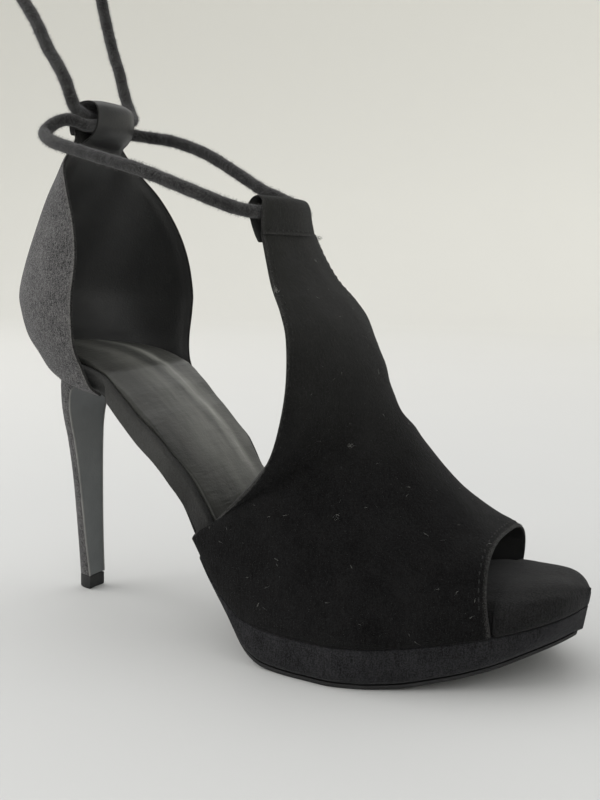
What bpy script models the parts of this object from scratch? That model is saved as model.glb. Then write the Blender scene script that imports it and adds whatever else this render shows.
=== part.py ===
"""Open toe T-strap sandal on a platform and a slim heel, right shoe, with one cord tie.

World frame in metres: +Z up, +X to the toe, +Y to the inner side of the foot. The origin is on the
floor under the middle of the forefoot tread.
"""

import math

import bmesh
import bpy
import numpy as np
from mathutils import Vector

# Driving sizes.
LENGTH = 0.207
BALL_WIDTH = 0.0765
PLATFORM_HEIGHT = 0.0128
TOE_SPRING = 0.0115
SEAT_HEIGHT = 0.084
STRAP_HEIGHT = 0.134
COUNTER_TOP = 0.165
TREAD_CENTRE = 0.140

# Thicknesses.
GAP = 0.0003
OUTSOLE_THICKNESS = 0.0013
INSOLE_THICKNESS = 0.0076
SOCK_THICKNESS = 0.0022
SOCK_CROWN = 0.0008
SOCK_INSET = 0.0024
UNDER_VAMP = 0.0010
UPPER_WALL = 0.0018
TAB_WALL = 0.0011
OUTSOLE_INSET = 0.0012

# Heel and its top piece.
TIP_HEIGHT = 0.005
TIP_DEPTH = 0.0071
TIP_WIDTH = 0.0082
TIP_BACK = 0.01915

# Cord and the tunnels that hold it.
CORD = 0.0042
CORD_CLEARANCE = 0.0007
FRONT_TUNNEL_WIDTH = 0.0335
FRONT_TUNNEL_DEPTH = 0.0078
FRONT_TUNNEL_HEIGHT = 0.0138
HEEL_TUNNEL_WIDTH = 0.0240
HEEL_TUNNEL_X = 0.0314
HEEL_TUNNEL_Z = 0.1722
KNOT = 0.0105

# Where the sole pieces begin and end, shares of LENGTH.
OUTSOLE_START = 0.1485
OUTSOLE_END = 0.992
PLATFORM_START = 0.453
SOCK_START = 0.074
SOCK_END = 0.80
VAMP_EDGE_GAP = 0.0006
VAMP_LEAN = 0.0018

# Plan of the sole. Columns: along (share of LENGTH), outer side and inner side (shares of BALL_WIDTH).
PLAN = (
    (0.0600, -0.010, 0.010),
    (0.0670, -0.115, 0.115),
    (0.0870, -0.203, 0.203),
    (0.1160, -0.262, 0.262),
    (0.1546, -0.310, 0.310),
    (0.1932, -0.338, 0.335),
    (0.2319, -0.352, 0.345),
    (0.2705, -0.362, 0.336),
    (0.3188, -0.366, 0.312),
    (0.3768, -0.371, 0.290),
    (0.4251, -0.387, 0.290),
    (0.4638, -0.405, 0.307),
    (0.5024, -0.421, 0.335),
    (0.5411, -0.437, 0.374),
    (0.5797, -0.448, 0.418),
    (0.6280, -0.456, 0.473),
    (0.6763, -0.456, 0.525),
    (0.7246, -0.421, 0.569),
    (0.7633, -0.369, 0.592),
    (0.8019, -0.311, 0.601),
    (0.8406, -0.243, 0.603),
    (0.8792, -0.167, 0.583),
    (0.9179, -0.089, 0.544),
    (0.9517, -0.010, 0.484),
    (0.9758, 0.068, 0.410),
    (0.9903, 0.150, 0.342),
    (0.9990, 0.235, 0.275),
)

# Underside of the insole. Columns: along (share of LENGTH), rise (share from platform top to seat).
ARCH = (
    (0.000, 1.000),
    (0.097, 1.000),
    (0.145, 0.988),
    (0.193, 0.960),
    (0.242, 0.918),
    (0.285, 0.812),
    (0.321, 0.715),
    (0.355, 0.639),
    (0.387, 0.548),
    (0.412, 0.447),
    (0.430, 0.360),
    (0.449, 0.285),
    (0.473, 0.185),
    (0.507, 0.083),
    (0.536, 0.027),
    (0.580, 0.004),
    (0.630, 0.000),
    (1.000, 0.000),
)

# Toe spring. Columns: along (share of LENGTH), rise of insole underside and of tread (shares of TOE_SPRING).
SPRING = (
    (0.000, 0.00, 0.00),
    (0.730, 0.00, 0.00),
    (0.773, 0.05, 0.04),
    (0.831, 0.16, 0.22),
    (0.889, 0.30, 0.44),
    (0.937, 0.47, 0.70),
    (0.981, 0.68, 0.96),
    (1.000, 0.78, 1.06),
)

# Extra depth of the wrapped insole. Columns: along (share of LENGTH), thickness (share of INSOLE_THICKNESS).
INSOLE_DEPTH = (
    (0.00, 0.92),
    (0.15, 0.96),
    (0.22, 0.98),
    (0.27, 1.05),
    (0.32, 1.14),
    (0.37, 1.20),
    (0.41, 1.40),
    (0.44, 1.62),
    (0.48, 1.72),
    (0.52, 1.55),
    (0.56, 1.28),
    (0.62, 1.06),
    (0.75, 1.08),
    (0.85, 1.42),
    (0.93, 1.26),
    (1.00, 1.08),
)

# Rear taper of the platform. Columns: along (share of LENGTH), depth (share of PLATFORM_HEIGHT).
TAPER = (
    (0.447, 0.27),
    (0.471, 0.28),
    (0.493, 0.36),
    (0.524, 0.66),
    (0.548, 0.88),
    (0.575, 0.985),
    (0.600, 1.00),
    (1.000, 1.00),
)

# Courses of the heel counter from its base to its tab. Columns: back along and front along (shares of
# LENGTH), back height and front height (shares of COUNTER_TOP), half width (share of BALL_WIDTH), and
# the angle in degrees that the course wraps on each side.
COUNTER_COURSES = (
    (0.0749, 0.2415, 0.5091, 0.4782, 0.352, 90),
    (0.0580, 0.2350, 0.5290, 0.4960, 0.396, 90),
    (0.0402, 0.2225, 0.5594, 0.5333, 0.412, 90),
    (0.0190, 0.2145, 0.5950, 0.5780, 0.440, 90),
    (0.0045, 0.2157, 0.6420, 0.6370, 0.458, 90),
    (0.0005, 0.2167, 0.6850, 0.6850, 0.459, 90),
    (0.0145, 0.2140, 0.7590, 0.7590, 0.424, 90),
    (0.0396, 0.1985, 0.8300, 0.8280, 0.389, 88),
    (0.0700, 0.1710, 0.8980, 0.8950, 0.343, 82),
    (0.0990, 0.1425, 0.9530, 0.9500, 0.270, 72),
    (0.1180, 0.1330, 1.0000, 0.9980, 0.170, 55),
    (0.1295, 0.1300, 1.0205, 1.0205, 0.157, 45),
)

# Rows of the vamp that end on the platform, from the toe opening back. Columns: ridge along (share of
# LENGTH), ridge across (share of BALL_WIDTH), ridge height (share of STRAP_HEIGHT), outer foot along,
# inner foot along (shares of LENGTH), squareness of the arch.
VAMP_FEET = (
    (0.8720, 0.193, 0.318, 0.8995, 0.8517, 0.72),
    (0.8590, 0.187, 0.334, 0.8550, 0.8092, 0.75),
    (0.8410, 0.178, 0.352, 0.7874, 0.7488, 0.80),
    (0.8190, 0.167, 0.377, 0.7101, 0.6763, 0.85),
    (0.7950, 0.157, 0.408, 0.6329, 0.6039, 0.90),
    (0.7715, 0.148, 0.445, 0.5652, 0.5411, 0.93),
    (0.7490, 0.139, 0.484, 0.5121, 0.4928, 0.96),
    (0.7295, 0.131, 0.521, 0.4686, 0.4541, 1.00),
    (0.7150, 0.125, 0.552, 0.4372, 0.4251, 1.00),
)

# Rows of the vamp that end at the throat, up to the tab. Columns: ridge along, across, height; outer
# edge along, across, height; inner edge along, across, height; wrap in degrees.
VAMP_THROAT = (
    (0.7000, 0.120, 0.587, 0.4807, -0.403, 0.325, 0.4662, 0.333, 0.347, 90),
    (0.6855, 0.114, 0.625, 0.5179, -0.409, 0.376, 0.5024, 0.379, 0.399, 90),
    (0.6720, 0.107, 0.662, 0.5536, -0.416, 0.434, 0.5386, 0.412, 0.455, 88),
    (0.6618, 0.101, 0.700, 0.5787, -0.418, 0.499, 0.5652, 0.431, 0.519, 86),
    (0.6483, 0.094, 0.736, 0.5942, -0.416, 0.582, 0.5821, 0.435, 0.601, 82),
    (0.6348, 0.086, 0.771, 0.6005, -0.403, 0.672, 0.5894, 0.431, 0.687, 76),
    (0.6174, 0.077, 0.810, 0.5942, -0.376, 0.767, 0.5860, 0.412, 0.780, 68),
    (0.5961, 0.064, 0.851, 0.5768, -0.340, 0.825, 0.5710, 0.369, 0.837, 60),
    (0.5715, 0.047, 0.894, 0.5507, -0.290, 0.881, 0.5488, 0.314, 0.888, 52),
    (0.5522, 0.029, 0.943, 0.5314, -0.248, 0.940, 0.5324, 0.265, 0.945, 48),
    (0.5353, 0.013, 1.001, 0.5159, -0.220, 0.999, 0.5193, 0.235, 1.000, 45),
    (0.5270, 0.009, 1.030, 0.5085, -0.216, 1.030, 0.5120, 0.229, 1.030, 42),
)

# Heel from top to bottom. Columns: height (share of SEAT_HEIGHT), back and breast along (shares of
# LENGTH), half width (share of BALL_WIDTH).
HEEL_RINGS = (
    (0.950, 0.0700, 0.1290, 0.178),
    (0.900, 0.0672, 0.1160, 0.155),
    (0.835, 0.0662, 0.1084, 0.135),
    (0.760, 0.0690, 0.1072, 0.118),
    (0.680, 0.0742, 0.1095, 0.103),
    (0.500, 0.0822, 0.1145, 0.083),
    (0.240, 0.0890, 0.1208, 0.065),
)

# The cord's own points, metres from the back of the heel, with y to the inner side.
CORD_OUTER = (
    (0.1063, -0.0003, 0.1414),
    (0.1063, -0.0040, 0.1414),
    (0.1054, -0.0080, 0.1412),
    (0.1030, -0.0162, 0.1408),
    (0.0990, -0.0215, 0.1418),
    (0.0937, -0.0249, 0.1439),
    (0.0842, -0.0284, 0.1477),
    (0.0695, -0.0304, 0.1529),
    (0.0533, -0.0310, 0.1572),
    (0.0416, -0.0308, 0.1603),
    (0.0322, -0.0290, 0.1629),
    (0.0256, -0.0254, 0.1662),
    (0.0260, -0.0212, 0.1698),
    (0.0290, -0.0185, 0.1714),
    (0.0312, -0.0156, 0.1711),
    (0.0325, -0.0122, 0.1702),
    (0.0336, -0.0060, 0.1710),
    (0.0338, 0.0000, 0.1722),
    (0.0336, 0.0060, 0.1734),
    (0.0323, 0.0122, 0.1745),
    (0.0304, 0.0160, 0.1758),
    (0.0272, 0.0186, 0.1789),
    (0.0244, 0.0198, 0.1835),
    (0.0226, 0.0200, 0.1885),
    (0.0210, 0.0200, 0.1940),
    (0.0186, 0.0200, 0.2000),
    (0.0153, 0.0200, 0.2104),
    (0.0121, 0.0203, 0.2215),
)
CORD_INNER = (
    (0.1063, 0.0003, 0.1414),
    (0.1063, 0.0040, 0.1414),
    (0.1054, 0.0080, 0.1414),
    (0.1035, 0.0156, 0.1415),
    (0.1012, 0.0200, 0.1422),
    (0.0968, 0.0232, 0.1443),
    (0.0900, 0.0246, 0.1471),
    (0.0828, 0.0240, 0.1500),
    (0.0769, 0.0240, 0.1532),
    (0.0679, 0.0240, 0.1583),
    (0.0587, 0.0240, 0.1631),
    (0.0500, 0.0236, 0.1664),
    (0.0430, 0.0222, 0.1684),
    (0.0360, 0.0202, 0.1694),
    (0.0318, 0.0168, 0.1700),
    (0.0300, 0.0122, 0.1702),
    (0.0291, 0.0060, 0.1710),
    (0.0290, 0.0000, 0.1722),
    (0.0291, -0.0060, 0.1734),
    (0.0298, -0.0122, 0.1747),
    (0.0306, -0.0160, 0.1759),
    (0.0312, -0.0188, 0.1792),
    (0.0300, -0.0200, 0.1842),
    (0.0268, -0.0202, 0.1894),
    (0.0226, -0.0202, 0.1951),
    (0.0173, -0.0200, 0.2040),
    (0.0116, -0.0200, 0.2117),
    (0.0076, -0.0200, 0.2172),
)

SUEDE = (0.014, 0.014, 0.015, 1.0)
LINING = (0.022, 0.022, 0.023, 1.0)
LEATHER = (0.050, 0.050, 0.053, 1.0)
RUBBER = (0.020, 0.020, 0.020, 1.0)


def clear_scene():
    for old in list(bpy.data.objects):
        bpy.data.objects.remove(old, do_unlink=True)


def finish(name, colour, roughness):
    """A plain material of one colour."""
    material = bpy.data.materials.new(name)
    material.use_nodes = True
    shader = material.node_tree.nodes["Principled BSDF"]
    shader.inputs["Base Color"].default_value = colour
    shader.inputs["Roughness"].default_value = roughness
    shader.inputs["Metallic"].default_value = 0.0
    return material


def curve_at(table, column, along):
    """Value of one column of a table at a share of its first column, on a smooth monotone curve."""
    xs = np.array([row[0] for row in table])
    ys = np.array([row[column] for row in table])
    steps = np.diff(xs)
    slopes = np.diff(ys) / steps
    tangents = np.zeros(len(xs))
    for i in range(1, len(xs) - 1):
        if slopes[i - 1] * slopes[i] > 0:
            before = 2 * steps[i] + steps[i - 1]
            after = steps[i] + 2 * steps[i - 1]
            tangents[i] = (before + after) / (before / slopes[i - 1] + after / slopes[i])
    tangents[0] = slopes[0]
    tangents[-1] = slopes[-1]
    along = min(max(along, xs[0]), xs[-1])
    i = min(int(np.searchsorted(xs, along, side="right")) - 1, len(steps) - 1)
    i = max(i, 0)
    t = (along - xs[i]) / steps[i]
    start = ys[i] * (1 + 2 * t) * (1 - t) ** 2 + ys[i + 1] * t * t * (3 - 2 * t)
    bend = steps[i] * (tangents[i] * t * (1 - t) ** 2 - tangents[i + 1] * t * t * (1 - t))
    return float(start + bend)


def outer_edge(x):
    return BALL_WIDTH * curve_at(PLAN, 1, x / LENGTH)


def inner_edge(x):
    return BALL_WIDTH * curve_at(PLAN, 2, x / LENGTH)


def insole_under(x):
    """Height of the insole's underside, which is also the seam line of vamp and platform."""
    rise = curve_at(ARCH, 1, x / LENGTH) * (SEAT_HEIGHT - PLATFORM_HEIGHT)
    return PLATFORM_HEIGHT + rise + TOE_SPRING * curve_at(SPRING, 1, x / LENGTH)


def insole_top(x):
    return insole_under(x) + INSOLE_THICKNESS * curve_at(INSOLE_DEPTH, 1, x / LENGTH)


def tread(x):
    """Height of the outsole's underside."""
    waist = insole_under(x) - GAP - OUTSOLE_THICKNESS
    if x < TAPER[0][0] * LENGTH:
        return waist
    depth = PLATFORM_HEIGHT * curve_at(TAPER, 1, x / LENGTH)
    flat = insole_under(x) - TOE_SPRING * curve_at(SPRING, 1, x / LENGTH) - depth
    return max(flat, 0.0) + TOE_SPRING * curve_at(SPRING, 2, x / LENGTH)


def to_world(point):
    """A point measured from the back of the heel, moved to the origin under the forefoot tread."""
    return Vector((point[0] - TREAD_CENTRE, point[1], point[2]))


def new_object(name, shape, material, smooth_angle=40):
    """Closes a bmesh into a named object, faces out, shaded smooth but for its sharp edges."""
    bmesh.ops.recalc_face_normals(shape, faces=shape.faces)
    mesh = bpy.data.meshes.new(name)
    shape.to_mesh(mesh)
    shape.free()
    mesh.shade_smooth()
    mesh.set_sharp_from_angle(angle=math.radians(smooth_angle))
    mesh.materials.append(material)
    made = bpy.data.objects.new(name, mesh)
    bpy.context.scene.collection.objects.link(made)
    return made


def loft(rings):
    """A closed solid through rings of points, capped at both ends."""
    shape = bmesh.new()
    loops = [[shape.verts.new(to_world(point)) for point in ring] for ring in rings]
    for first, second in zip(loops, loops[1:]):
        count = len(first)
        for i in range(count):
            j = (i + 1) % count
            shape.faces.new((first[i], first[j], second[j], second[i]))
    shape.faces.new(list(reversed(loops[0])))
    shape.faces.new(loops[-1])
    return shape


def tube_along(profiles):
    """A closed pipe through pairs of outer and inner rings, open at both ends."""
    shape = bmesh.new()
    outer = [[shape.verts.new(to_world(point)) for point in pair[0]] for pair in profiles]
    inner = [[shape.verts.new(to_world(point)) for point in pair[1]] for pair in profiles]
    count = len(outer[0])
    for i in range(count):
        j = (i + 1) % count
        for a, b in zip(outer, outer[1:]):
            shape.faces.new((a[i], a[j], b[j], b[i]))
        for a, b in zip(inner, inner[1:]):
            shape.faces.new((a[j], a[i], b[i], b[j]))
        shape.faces.new((outer[0][j], outer[0][i], inner[0][i], inner[0][j]))
        shape.faces.new((outer[-1][i], outer[-1][j], inner[-1][j], inner[-1][i]))
    return shape


def refine(rows, times=2):
    """Adds rows between rows, on a smooth curve through each column of points."""
    grid = np.array(rows)
    first = 2 * grid[0] - grid[1]
    last = 2 * grid[-1] - grid[-2]
    padded = np.concatenate([[first], grid, [last]])
    finer = []
    for i in range(1, len(padded) - 2):
        before, here, there, after = padded[i - 1 : i + 3]
        for step in range(times):
            t = step / times
            bend = 2 * before - 5 * here + 4 * there - after
            twist = 3 * here - before - 3 * there + after
            finer.append(here + 0.5 * t * ((there - before) + t * (bend + t * twist)))
    finer.append(grid[-1])
    return finer


def vamp_fronts():
    """Places just in front of the vamp's foot on the outer and on the inner side."""
    outer = VAMP_FEET[0][3] * LENGTH + VAMP_EDGE_GAP
    inner = VAMP_FEET[0][4] * LENGTH + VAMP_EDGE_GAP + VAMP_LEAN
    return outer, inner


def stations(start, end, count=44):
    """Places along the shoe between two shares of its length, the same ones for every sole piece."""
    first, last = PLAN[0][0], PLAN[-1][0]
    turns = np.linspace(0.0, math.pi, count)
    shares = [first + (last - first) * 0.5 * (1 - math.cos(turn)) for turn in turns]
    shares += [PLATFORM_START, OUTSOLE_START, SOCK_START, SOCK_END]
    shares += [COUNTER_COURSES[0][1] + steps * UPPER_WALL / LENGTH for steps in (1, 2)]
    for front in vamp_fronts():
        shares += [front / LENGTH, (front + VAMP_EDGE_GAP) / LENGTH]
    inside = [share for share in sorted(shares) if start + 0.0004 < share < end - 0.0004]
    return [LENGTH * share for share in [start, *inside, end]]


def slab_ring(x, low, high, outer, inner, under_cut, round_over, crown=0.0):
    """Cross section of a sole piece: flat below, drawn in by under_cut, rounded above, crowned on top."""
    height = high - low
    rounded = min(round_over, 0.45 * height, 0.3 * (inner - outer))
    cut = min(under_cut, 0.4 * (inner - outer))
    side = min(cut, 0.45 * height)
    middle = 0.5 * (outer + inner)
    half = 0.5 * (inner - outer)
    points = [(x, outer + cut, low), (x, outer + 0.3 * cut, low + 0.3 * side)]
    points.append((x, outer, low + side))
    points.append((x, outer, high - rounded))
    points.append((x, outer + 0.3 * rounded, high - 0.3 * rounded))
    for share in (-1.0, -0.6, 0.0, 0.6, 1.0):
        y = middle + share * (half - rounded)
        points.append((x, y, high + crown * (1 - share * share)))
    points.append((x, inner - 0.3 * rounded, high - 0.3 * rounded))
    points.append((x, inner, high - rounded))
    points.append((x, inner, low + side))
    points += [(x, inner - 0.3 * cut, low + 0.3 * side), (x, inner - cut, low)]
    return points


def ramp(x, start, end):
    return min(max((x - start) / (end - start), 0.0), 1.0)


def make_outsole(material):
    rings = []
    for x in stations(OUTSOLE_START, OUTSOLE_END):
        bottom = tread(x)
        waist = 0.0022 * (1 - ramp(x, 0.44 * LENGTH, 0.56 * LENGTH))
        seat = 0.0065 * (1 - ramp(x, 0.15 * LENGTH, 0.27 * LENGTH))
        inset = OUTSOLE_INSET + waist + seat
        rings.append(
            slab_ring(x, bottom, bottom + OUTSOLE_THICKNESS, outer_edge(x) + inset,
                      inner_edge(x) - inset, 0.0004, 0.0003)
        )
    return new_object("outsole", loft(rings), material)


def make_platform(material):
    rings = []
    for x in stations(PLATFORM_START, PLAN[-1][0]):
        low = tread(x) + OUTSOLE_THICKNESS + GAP
        high = insole_under(x) - GAP
        rings.append(slab_ring(x, low, high, outer_edge(x), inner_edge(x), 0.0022, 0.0007))
    return new_object("platform", loft(rings), material)


def insole_insets(x):
    """How far the insole stands in from the plan: under the vamp it clears the wall."""
    hidden = UPPER_WALL + GAP + UNDER_VAMP
    outer_front, inner_front = vamp_fronts()
    rear = ramp(x, 0.385 * LENGTH, 0.420 * LENGTH)
    outer = hidden * rear * (1 - ramp(x, outer_front, outer_front + VAMP_EDGE_GAP))
    inner = hidden * rear * (1 - ramp(x, inner_front, inner_front + VAMP_EDGE_GAP))
    return outer, inner


def counter_room(x, height):
    """Half width that is free inside the counter at a place and height."""
    clearance = 1.75 * UPPER_WALL + GAP
    if x > COUNTER_COURSES[0][1] * LENGTH + 1.5 * UPPER_WALL:
        return BALL_WIDTH
    heights, halves = [], []
    for back_x, front_x, back_z, front_z, half, _ in COUNTER_COURSES[:6]:
        reach = LENGTH * (front_x - back_x) - clearance
        turn = ramp(LENGTH * front_x - x, 0.0, reach)
        halves.append((BALL_WIDTH * half - clearance) * math.sqrt(1 - turn * turn))
        heights.append(COUNTER_TOP * (front_z + (back_z - front_z) * turn))
    return float(np.interp(height, heights, halves))


def inside_counter(ring):
    """A ring drawn in where it would touch the counter."""
    kept = []
    for x, y, z in ring:
        room = counter_room(x, z)
        kept.append((x, max(-room, min(room, y)), z))
    return kept


def make_insole(material):
    rings = []
    for x in stations(PLAN[0][0], PLAN[-1][0]):
        outer, inner = insole_insets(x)
        seat = 0.0030 * (1 - ramp(x, 0.10 * LENGTH, 0.30 * LENGTH))
        toe = 0.0026 * ramp(x, 0.84 * LENGTH, 0.90 * LENGTH)
        curl = 0.0062 * (1 - ramp(x, PLAN[0][0] * LENGTH, 0.095 * LENGTH)) ** 1.4
        low = insole_under(x) + curl
        tip = 0.0030 * ramp(x, 0.96 * LENGTH, LENGTH) ** 2
        ring = slab_ring(x, low, insole_top(x) - tip, outer_edge(x) + outer,
                         inner_edge(x) - inner, 0.0010 + seat, 0.0012 + toe)
        rings.append(inside_counter(ring))
    return new_object("insole", loft(rings), material)


def make_sock(material):
    rings = []
    for x in stations(SOCK_START, SOCK_END):
        inset = SOCK_INSET + insole_insets(x)[0]
        base = insole_top(x) + GAP
        thickness = SOCK_THICKNESS * min(1.0, 0.3 + 6 * (SOCK_END - x / LENGTH))
        rings.append(
            slab_ring(x, base, base + thickness, outer_edge(x) + inset,
                      inner_edge(x) - inset, 0.0003, 0.0010, SOCK_CROWN)
        )
    return new_object("sock", loft(rings), material)


def row_side(ridge, edge, wrap, squareness, count, follow=None):
    """Points of half a row, from its edge to just before its ridge, on an arc that wraps so far."""
    limit = math.radians(wrap)
    points = []
    for i in range(count):
        turn = limit * (1 - i / count)
        rise = (math.cos(turn) - math.cos(limit)) / (1 - math.cos(limit))
        spread = math.sin(turn) / math.sin(limit)
        rise, spread = rise**squareness, spread**squareness
        x = edge[0] + (ridge[0] - edge[0]) * rise
        z = edge[2] + (ridge[2] - edge[2]) * rise
        reach = edge[1] if follow is None else follow(x)
        points.append((x, ridge[1] + (reach - ridge[1]) * spread, z))
    return points


def vamp_rows(columns=8):
    rows = []
    for ridge_x, ridge_y, ridge_z, outer_x, inner_x, square in VAMP_FEET:
        ridge = (ridge_x * LENGTH, ridge_y * BALL_WIDTH, ridge_z * STRAP_HEIGHT)
        sides = []
        for share, edge_of in ((outer_x, outer_edge), (inner_x, inner_edge)):
            x = share * LENGTH
            edge = (x, edge_of(x), insole_under(x) + GAP)
            sides.append(row_side(ridge, edge, 90, square, columns, edge_of))
        rows.append(sides[0] + [ridge] + sides[1][::-1])
    for row in VAMP_THROAT:
        scale = (LENGTH, BALL_WIDTH, STRAP_HEIGHT)
        ridge, outer, inner = (
            tuple(share * size for share, size in zip(row[i : i + 3], scale)) for i in (0, 3, 6)
        )
        left = row_side(ridge, outer, row[9], 1.0, columns)
        right = row_side(ridge, inner, row[9], 1.0, columns)
        rows.append(left + [ridge] + right[::-1])
    return rows


def oval(centre, half_x, half_z, y, count=20, drop=0.0):
    """A ring in the plane across the shoe, drawn down to a point below by drop."""
    ring = []
    for i in range(count):
        turn = 2 * math.pi * i / count
        x = centre[0] + half_x * math.cos(turn)
        z = centre[1] + half_z * math.sin(turn)
        low = max(0.0, -math.sin(turn))
        ring.append((x, y, z - drop * low * low))
    return ring


def front_tunnel():
    """The strap's end, folded forward over the cord and stitched down."""
    half_x = 0.5 * FRONT_TUNNEL_DEPTH
    half_z = half_x + 0.0008
    drop = FRONT_TUNNEL_HEIGHT - 2 * half_z
    hole = 0.5 * CORD + CORD_CLEARANCE
    ridge = VAMP_THROAT[-1]
    profiles = []
    for share in np.linspace(-1.0, 1.0, 9):
        y = ridge[1] * BALL_WIDTH + share * 0.5 * FRONT_TUNNEL_WIDTH
        x = CORD_OUTER[0][0] - 0.0035 * share * share
        z = CORD_OUTER[0][2]
        outer = oval((x, z), half_x, half_z, y, drop=drop)
        inner = oval((x, z), hole + 0.0002, hole + 0.0006, y)
        profiles.append((outer, inner))
    return tube_along(profiles)


def heel_tunnel():
    """The top of the counter, folded into a loop wide enough for both passes of the cord."""
    hole = CORD + GAP + CORD_CLEARANCE
    profiles = []
    for share in np.linspace(-1.0, 1.0, 7):
        y = share * 0.5 * HEEL_TUNNEL_WIDTH
        centre = (HEEL_TUNNEL_X - 0.0005 * share * share, HEEL_TUNNEL_Z)
        outer = oval(centre, hole + TAB_WALL, hole + TAB_WALL, y)
        profiles.append((outer, oval(centre, hole, hole, y)))
    return tube_along(profiles)


def join(target, shape, name, material):
    """Joins a second closed shape to an object with a Boolean union."""
    helper = new_object(name, shape, material)
    helper.hide_render = True
    helper.display_type = "WIRE"
    union = target.modifiers.new("join_" + name, "BOOLEAN")
    union.operation = "UNION"
    union.solver = "EXACT"
    union.object = helper


def walled(rows, thickness, outwards, standing=0):
    """A closed wall: the rows are its outer face, and its inner face lies one thickness inside.

    The ends of the first rows, as many as standing, stay level across the shoe.
    """
    outer = np.array(rows)
    along = np.gradient(outer, axis=0)
    across = np.gradient(outer, axis=1)
    normals = outwards * np.cross(along, across)
    for end in (0, -1):
        normals[:standing, end, 0] = 0.0
        normals[:standing, end, 2] = 0.0
    normals /= np.linalg.norm(normals, axis=2, keepdims=True)
    inner = outer - thickness * normals
    shape = bmesh.new()
    faces = []
    for grid in (outer, inner):
        faces.append([[shape.verts.new(to_world(point)) for point in row] for row in grid])
    for face in faces:
        for first, second in zip(face, face[1:]):
            for i in range(len(first) - 1):
                shape.faces.new((first[i], first[i + 1], second[i + 1], second[i]))
    rims = [[face[0] for face in faces], [face[-1] for face in faces]]
    rims += [[[row[i] for row in face] for face in faces] for i in (0, -1)]
    for front, back in rims:
        for i in range(len(front) - 1):
            shape.faces.new((front[i], front[i + 1], back[i + 1], back[i]))
    return shape


def make_vamp(material):
    rows = refine(vamp_rows())
    standing = 2 * len(VAMP_FEET) - 1
    for row in rows[:standing]:
        for foot, edge_of in ((row[0], outer_edge), (row[-1], inner_edge)):
            foot[1] = edge_of(foot[0])
            foot[2] = insole_under(foot[0]) + GAP
    vamp = new_object("vamp", walled(rows, UPPER_WALL, -1.0, standing), material)
    join(vamp, front_tunnel(), "front_tab", material)
    return vamp


def counter_rows(columns=8):
    rows = []
    for back_x, front_x, back_z, front_z, half, wrap in COUNTER_COURSES:
        limit = math.radians(wrap)
        row = []
        for i in range(-columns, columns + 1):
            turn = limit * i / columns
            rise = (math.cos(turn) - math.cos(limit)) / (1 - math.cos(limit))
            x = LENGTH * (front_x + (back_x - front_x) * rise)
            y = BALL_WIDTH * half * math.sin(turn) / math.sin(limit)
            z = COUNTER_TOP * (front_z + (back_z - front_z) * rise)
            row.append((x, y, z))
        rows.append(row)
    return rows


def make_counter(material):
    wall = walled(refine(counter_rows()), UPPER_WALL, 1.0)
    counter = new_object("counter", wall, material)
    join(counter, heel_tunnel(), "heel_tab", material)
    return counter


def heel_ring(back, breast, half, height, follow=None):
    """D shaped section: flat breast to the front, round at the back."""
    ring = []
    for i in range(11):
        turn = math.pi * (i / 10 - 0.5)
        x = breast - (breast - back) * math.cos(turn) ** 0.9
        y = half * math.sin(turn)
        ring.append((x, y, height if follow is None else follow(x)))
    for share in (0.5, 0.0, -0.5):
        y = half * share
        x = breast - 0.06 * half * (1 - share * share)
        ring.append((x, y, height if follow is None else follow(x)))
    return ring


def make_heel(material):
    def seat(x):
        return insole_under(x) - GAP

    rings = [heel_ring(0.0775 * LENGTH, 0.147 * LENGTH, 0.196 * BALL_WIDTH, 0.0, seat)]
    for height, back, breast, half in HEEL_RINGS:
        rings.append(
            heel_ring(back * LENGTH, breast * LENGTH, half * BALL_WIDTH, height * SEAT_HEIGHT)
        )
    front = TIP_BACK + TIP_DEPTH
    rings.append(heel_ring(TIP_BACK, front, 0.5 * TIP_WIDTH, TIP_HEIGHT + GAP))
    return new_object("heel", loft(rings), material)


def make_heel_tip(material):
    front = TIP_BACK + TIP_DEPTH
    rings = [
        heel_ring(TIP_BACK + GAP, front - GAP, 0.5 * TIP_WIDTH - GAP, 0.0),
        heel_ring(TIP_BACK, front, 0.5 * TIP_WIDTH, 2 * GAP),
        heel_ring(TIP_BACK, front, 0.5 * TIP_WIDTH, TIP_HEIGHT),
    ]
    return new_object("heel_tip", loft(rings), material)


def cord_points(route, spacing):
    """Points at even steps on a smooth curve through the route's own points."""
    fine = np.array(refine([[point] for point in route], 24)).reshape(-1, 3)
    lengths = np.concatenate([[0.0], np.cumsum(np.linalg.norm(np.diff(fine, axis=0), axis=1))])
    count = max(2, round(lengths[-1] / spacing))
    marks = np.linspace(0.0, lengths[-1], count + 1)
    return np.stack([np.interp(marks, lengths, fine[:, axis]) for axis in range(3)], axis=1)


def make_cord(name, route, material):
    points = cord_points(route, 1.3 * CORD)
    data = bpy.data.curves.new(name, "CURVE")
    data.dimensions = "3D"
    data.bevel_depth = 0.5 * CORD
    data.bevel_resolution = 2
    data.use_fill_caps = True
    spline = data.splines.new("POLY")
    spline.points.add(len(points) - 1)
    for point, place in zip(spline.points, points):
        point.co = (*to_world(place), 1.0)
    data.materials.append(material)
    made = bpy.data.objects.new(name, data)
    bpy.context.scene.collection.objects.link(made)
    return made


def make_knot(name, route, material):
    """The closed outer form of the overhand knot that ends the cord."""
    end = Vector(route[-1])
    axis = (end - Vector(route[-2])).normalized()
    centre = end + axis * (0.5 * KNOT + GAP)
    shape = bmesh.new()
    bmesh.ops.create_icosphere(shape, subdivisions=2, radius=0.5 * KNOT)
    for vert in shape.verts:
        vert.co.x *= 0.86
        vert.co.y *= 0.86
    turn = Vector((0.0, 0.0, 1.0)).rotation_difference(axis).to_matrix()
    bmesh.ops.rotate(shape, verts=shape.verts, cent=(0, 0, 0), matrix=turn)
    bmesh.ops.translate(shape, verts=shape.verts, vec=to_world(centre))
    return new_object(name, shape, material, 80)


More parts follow.
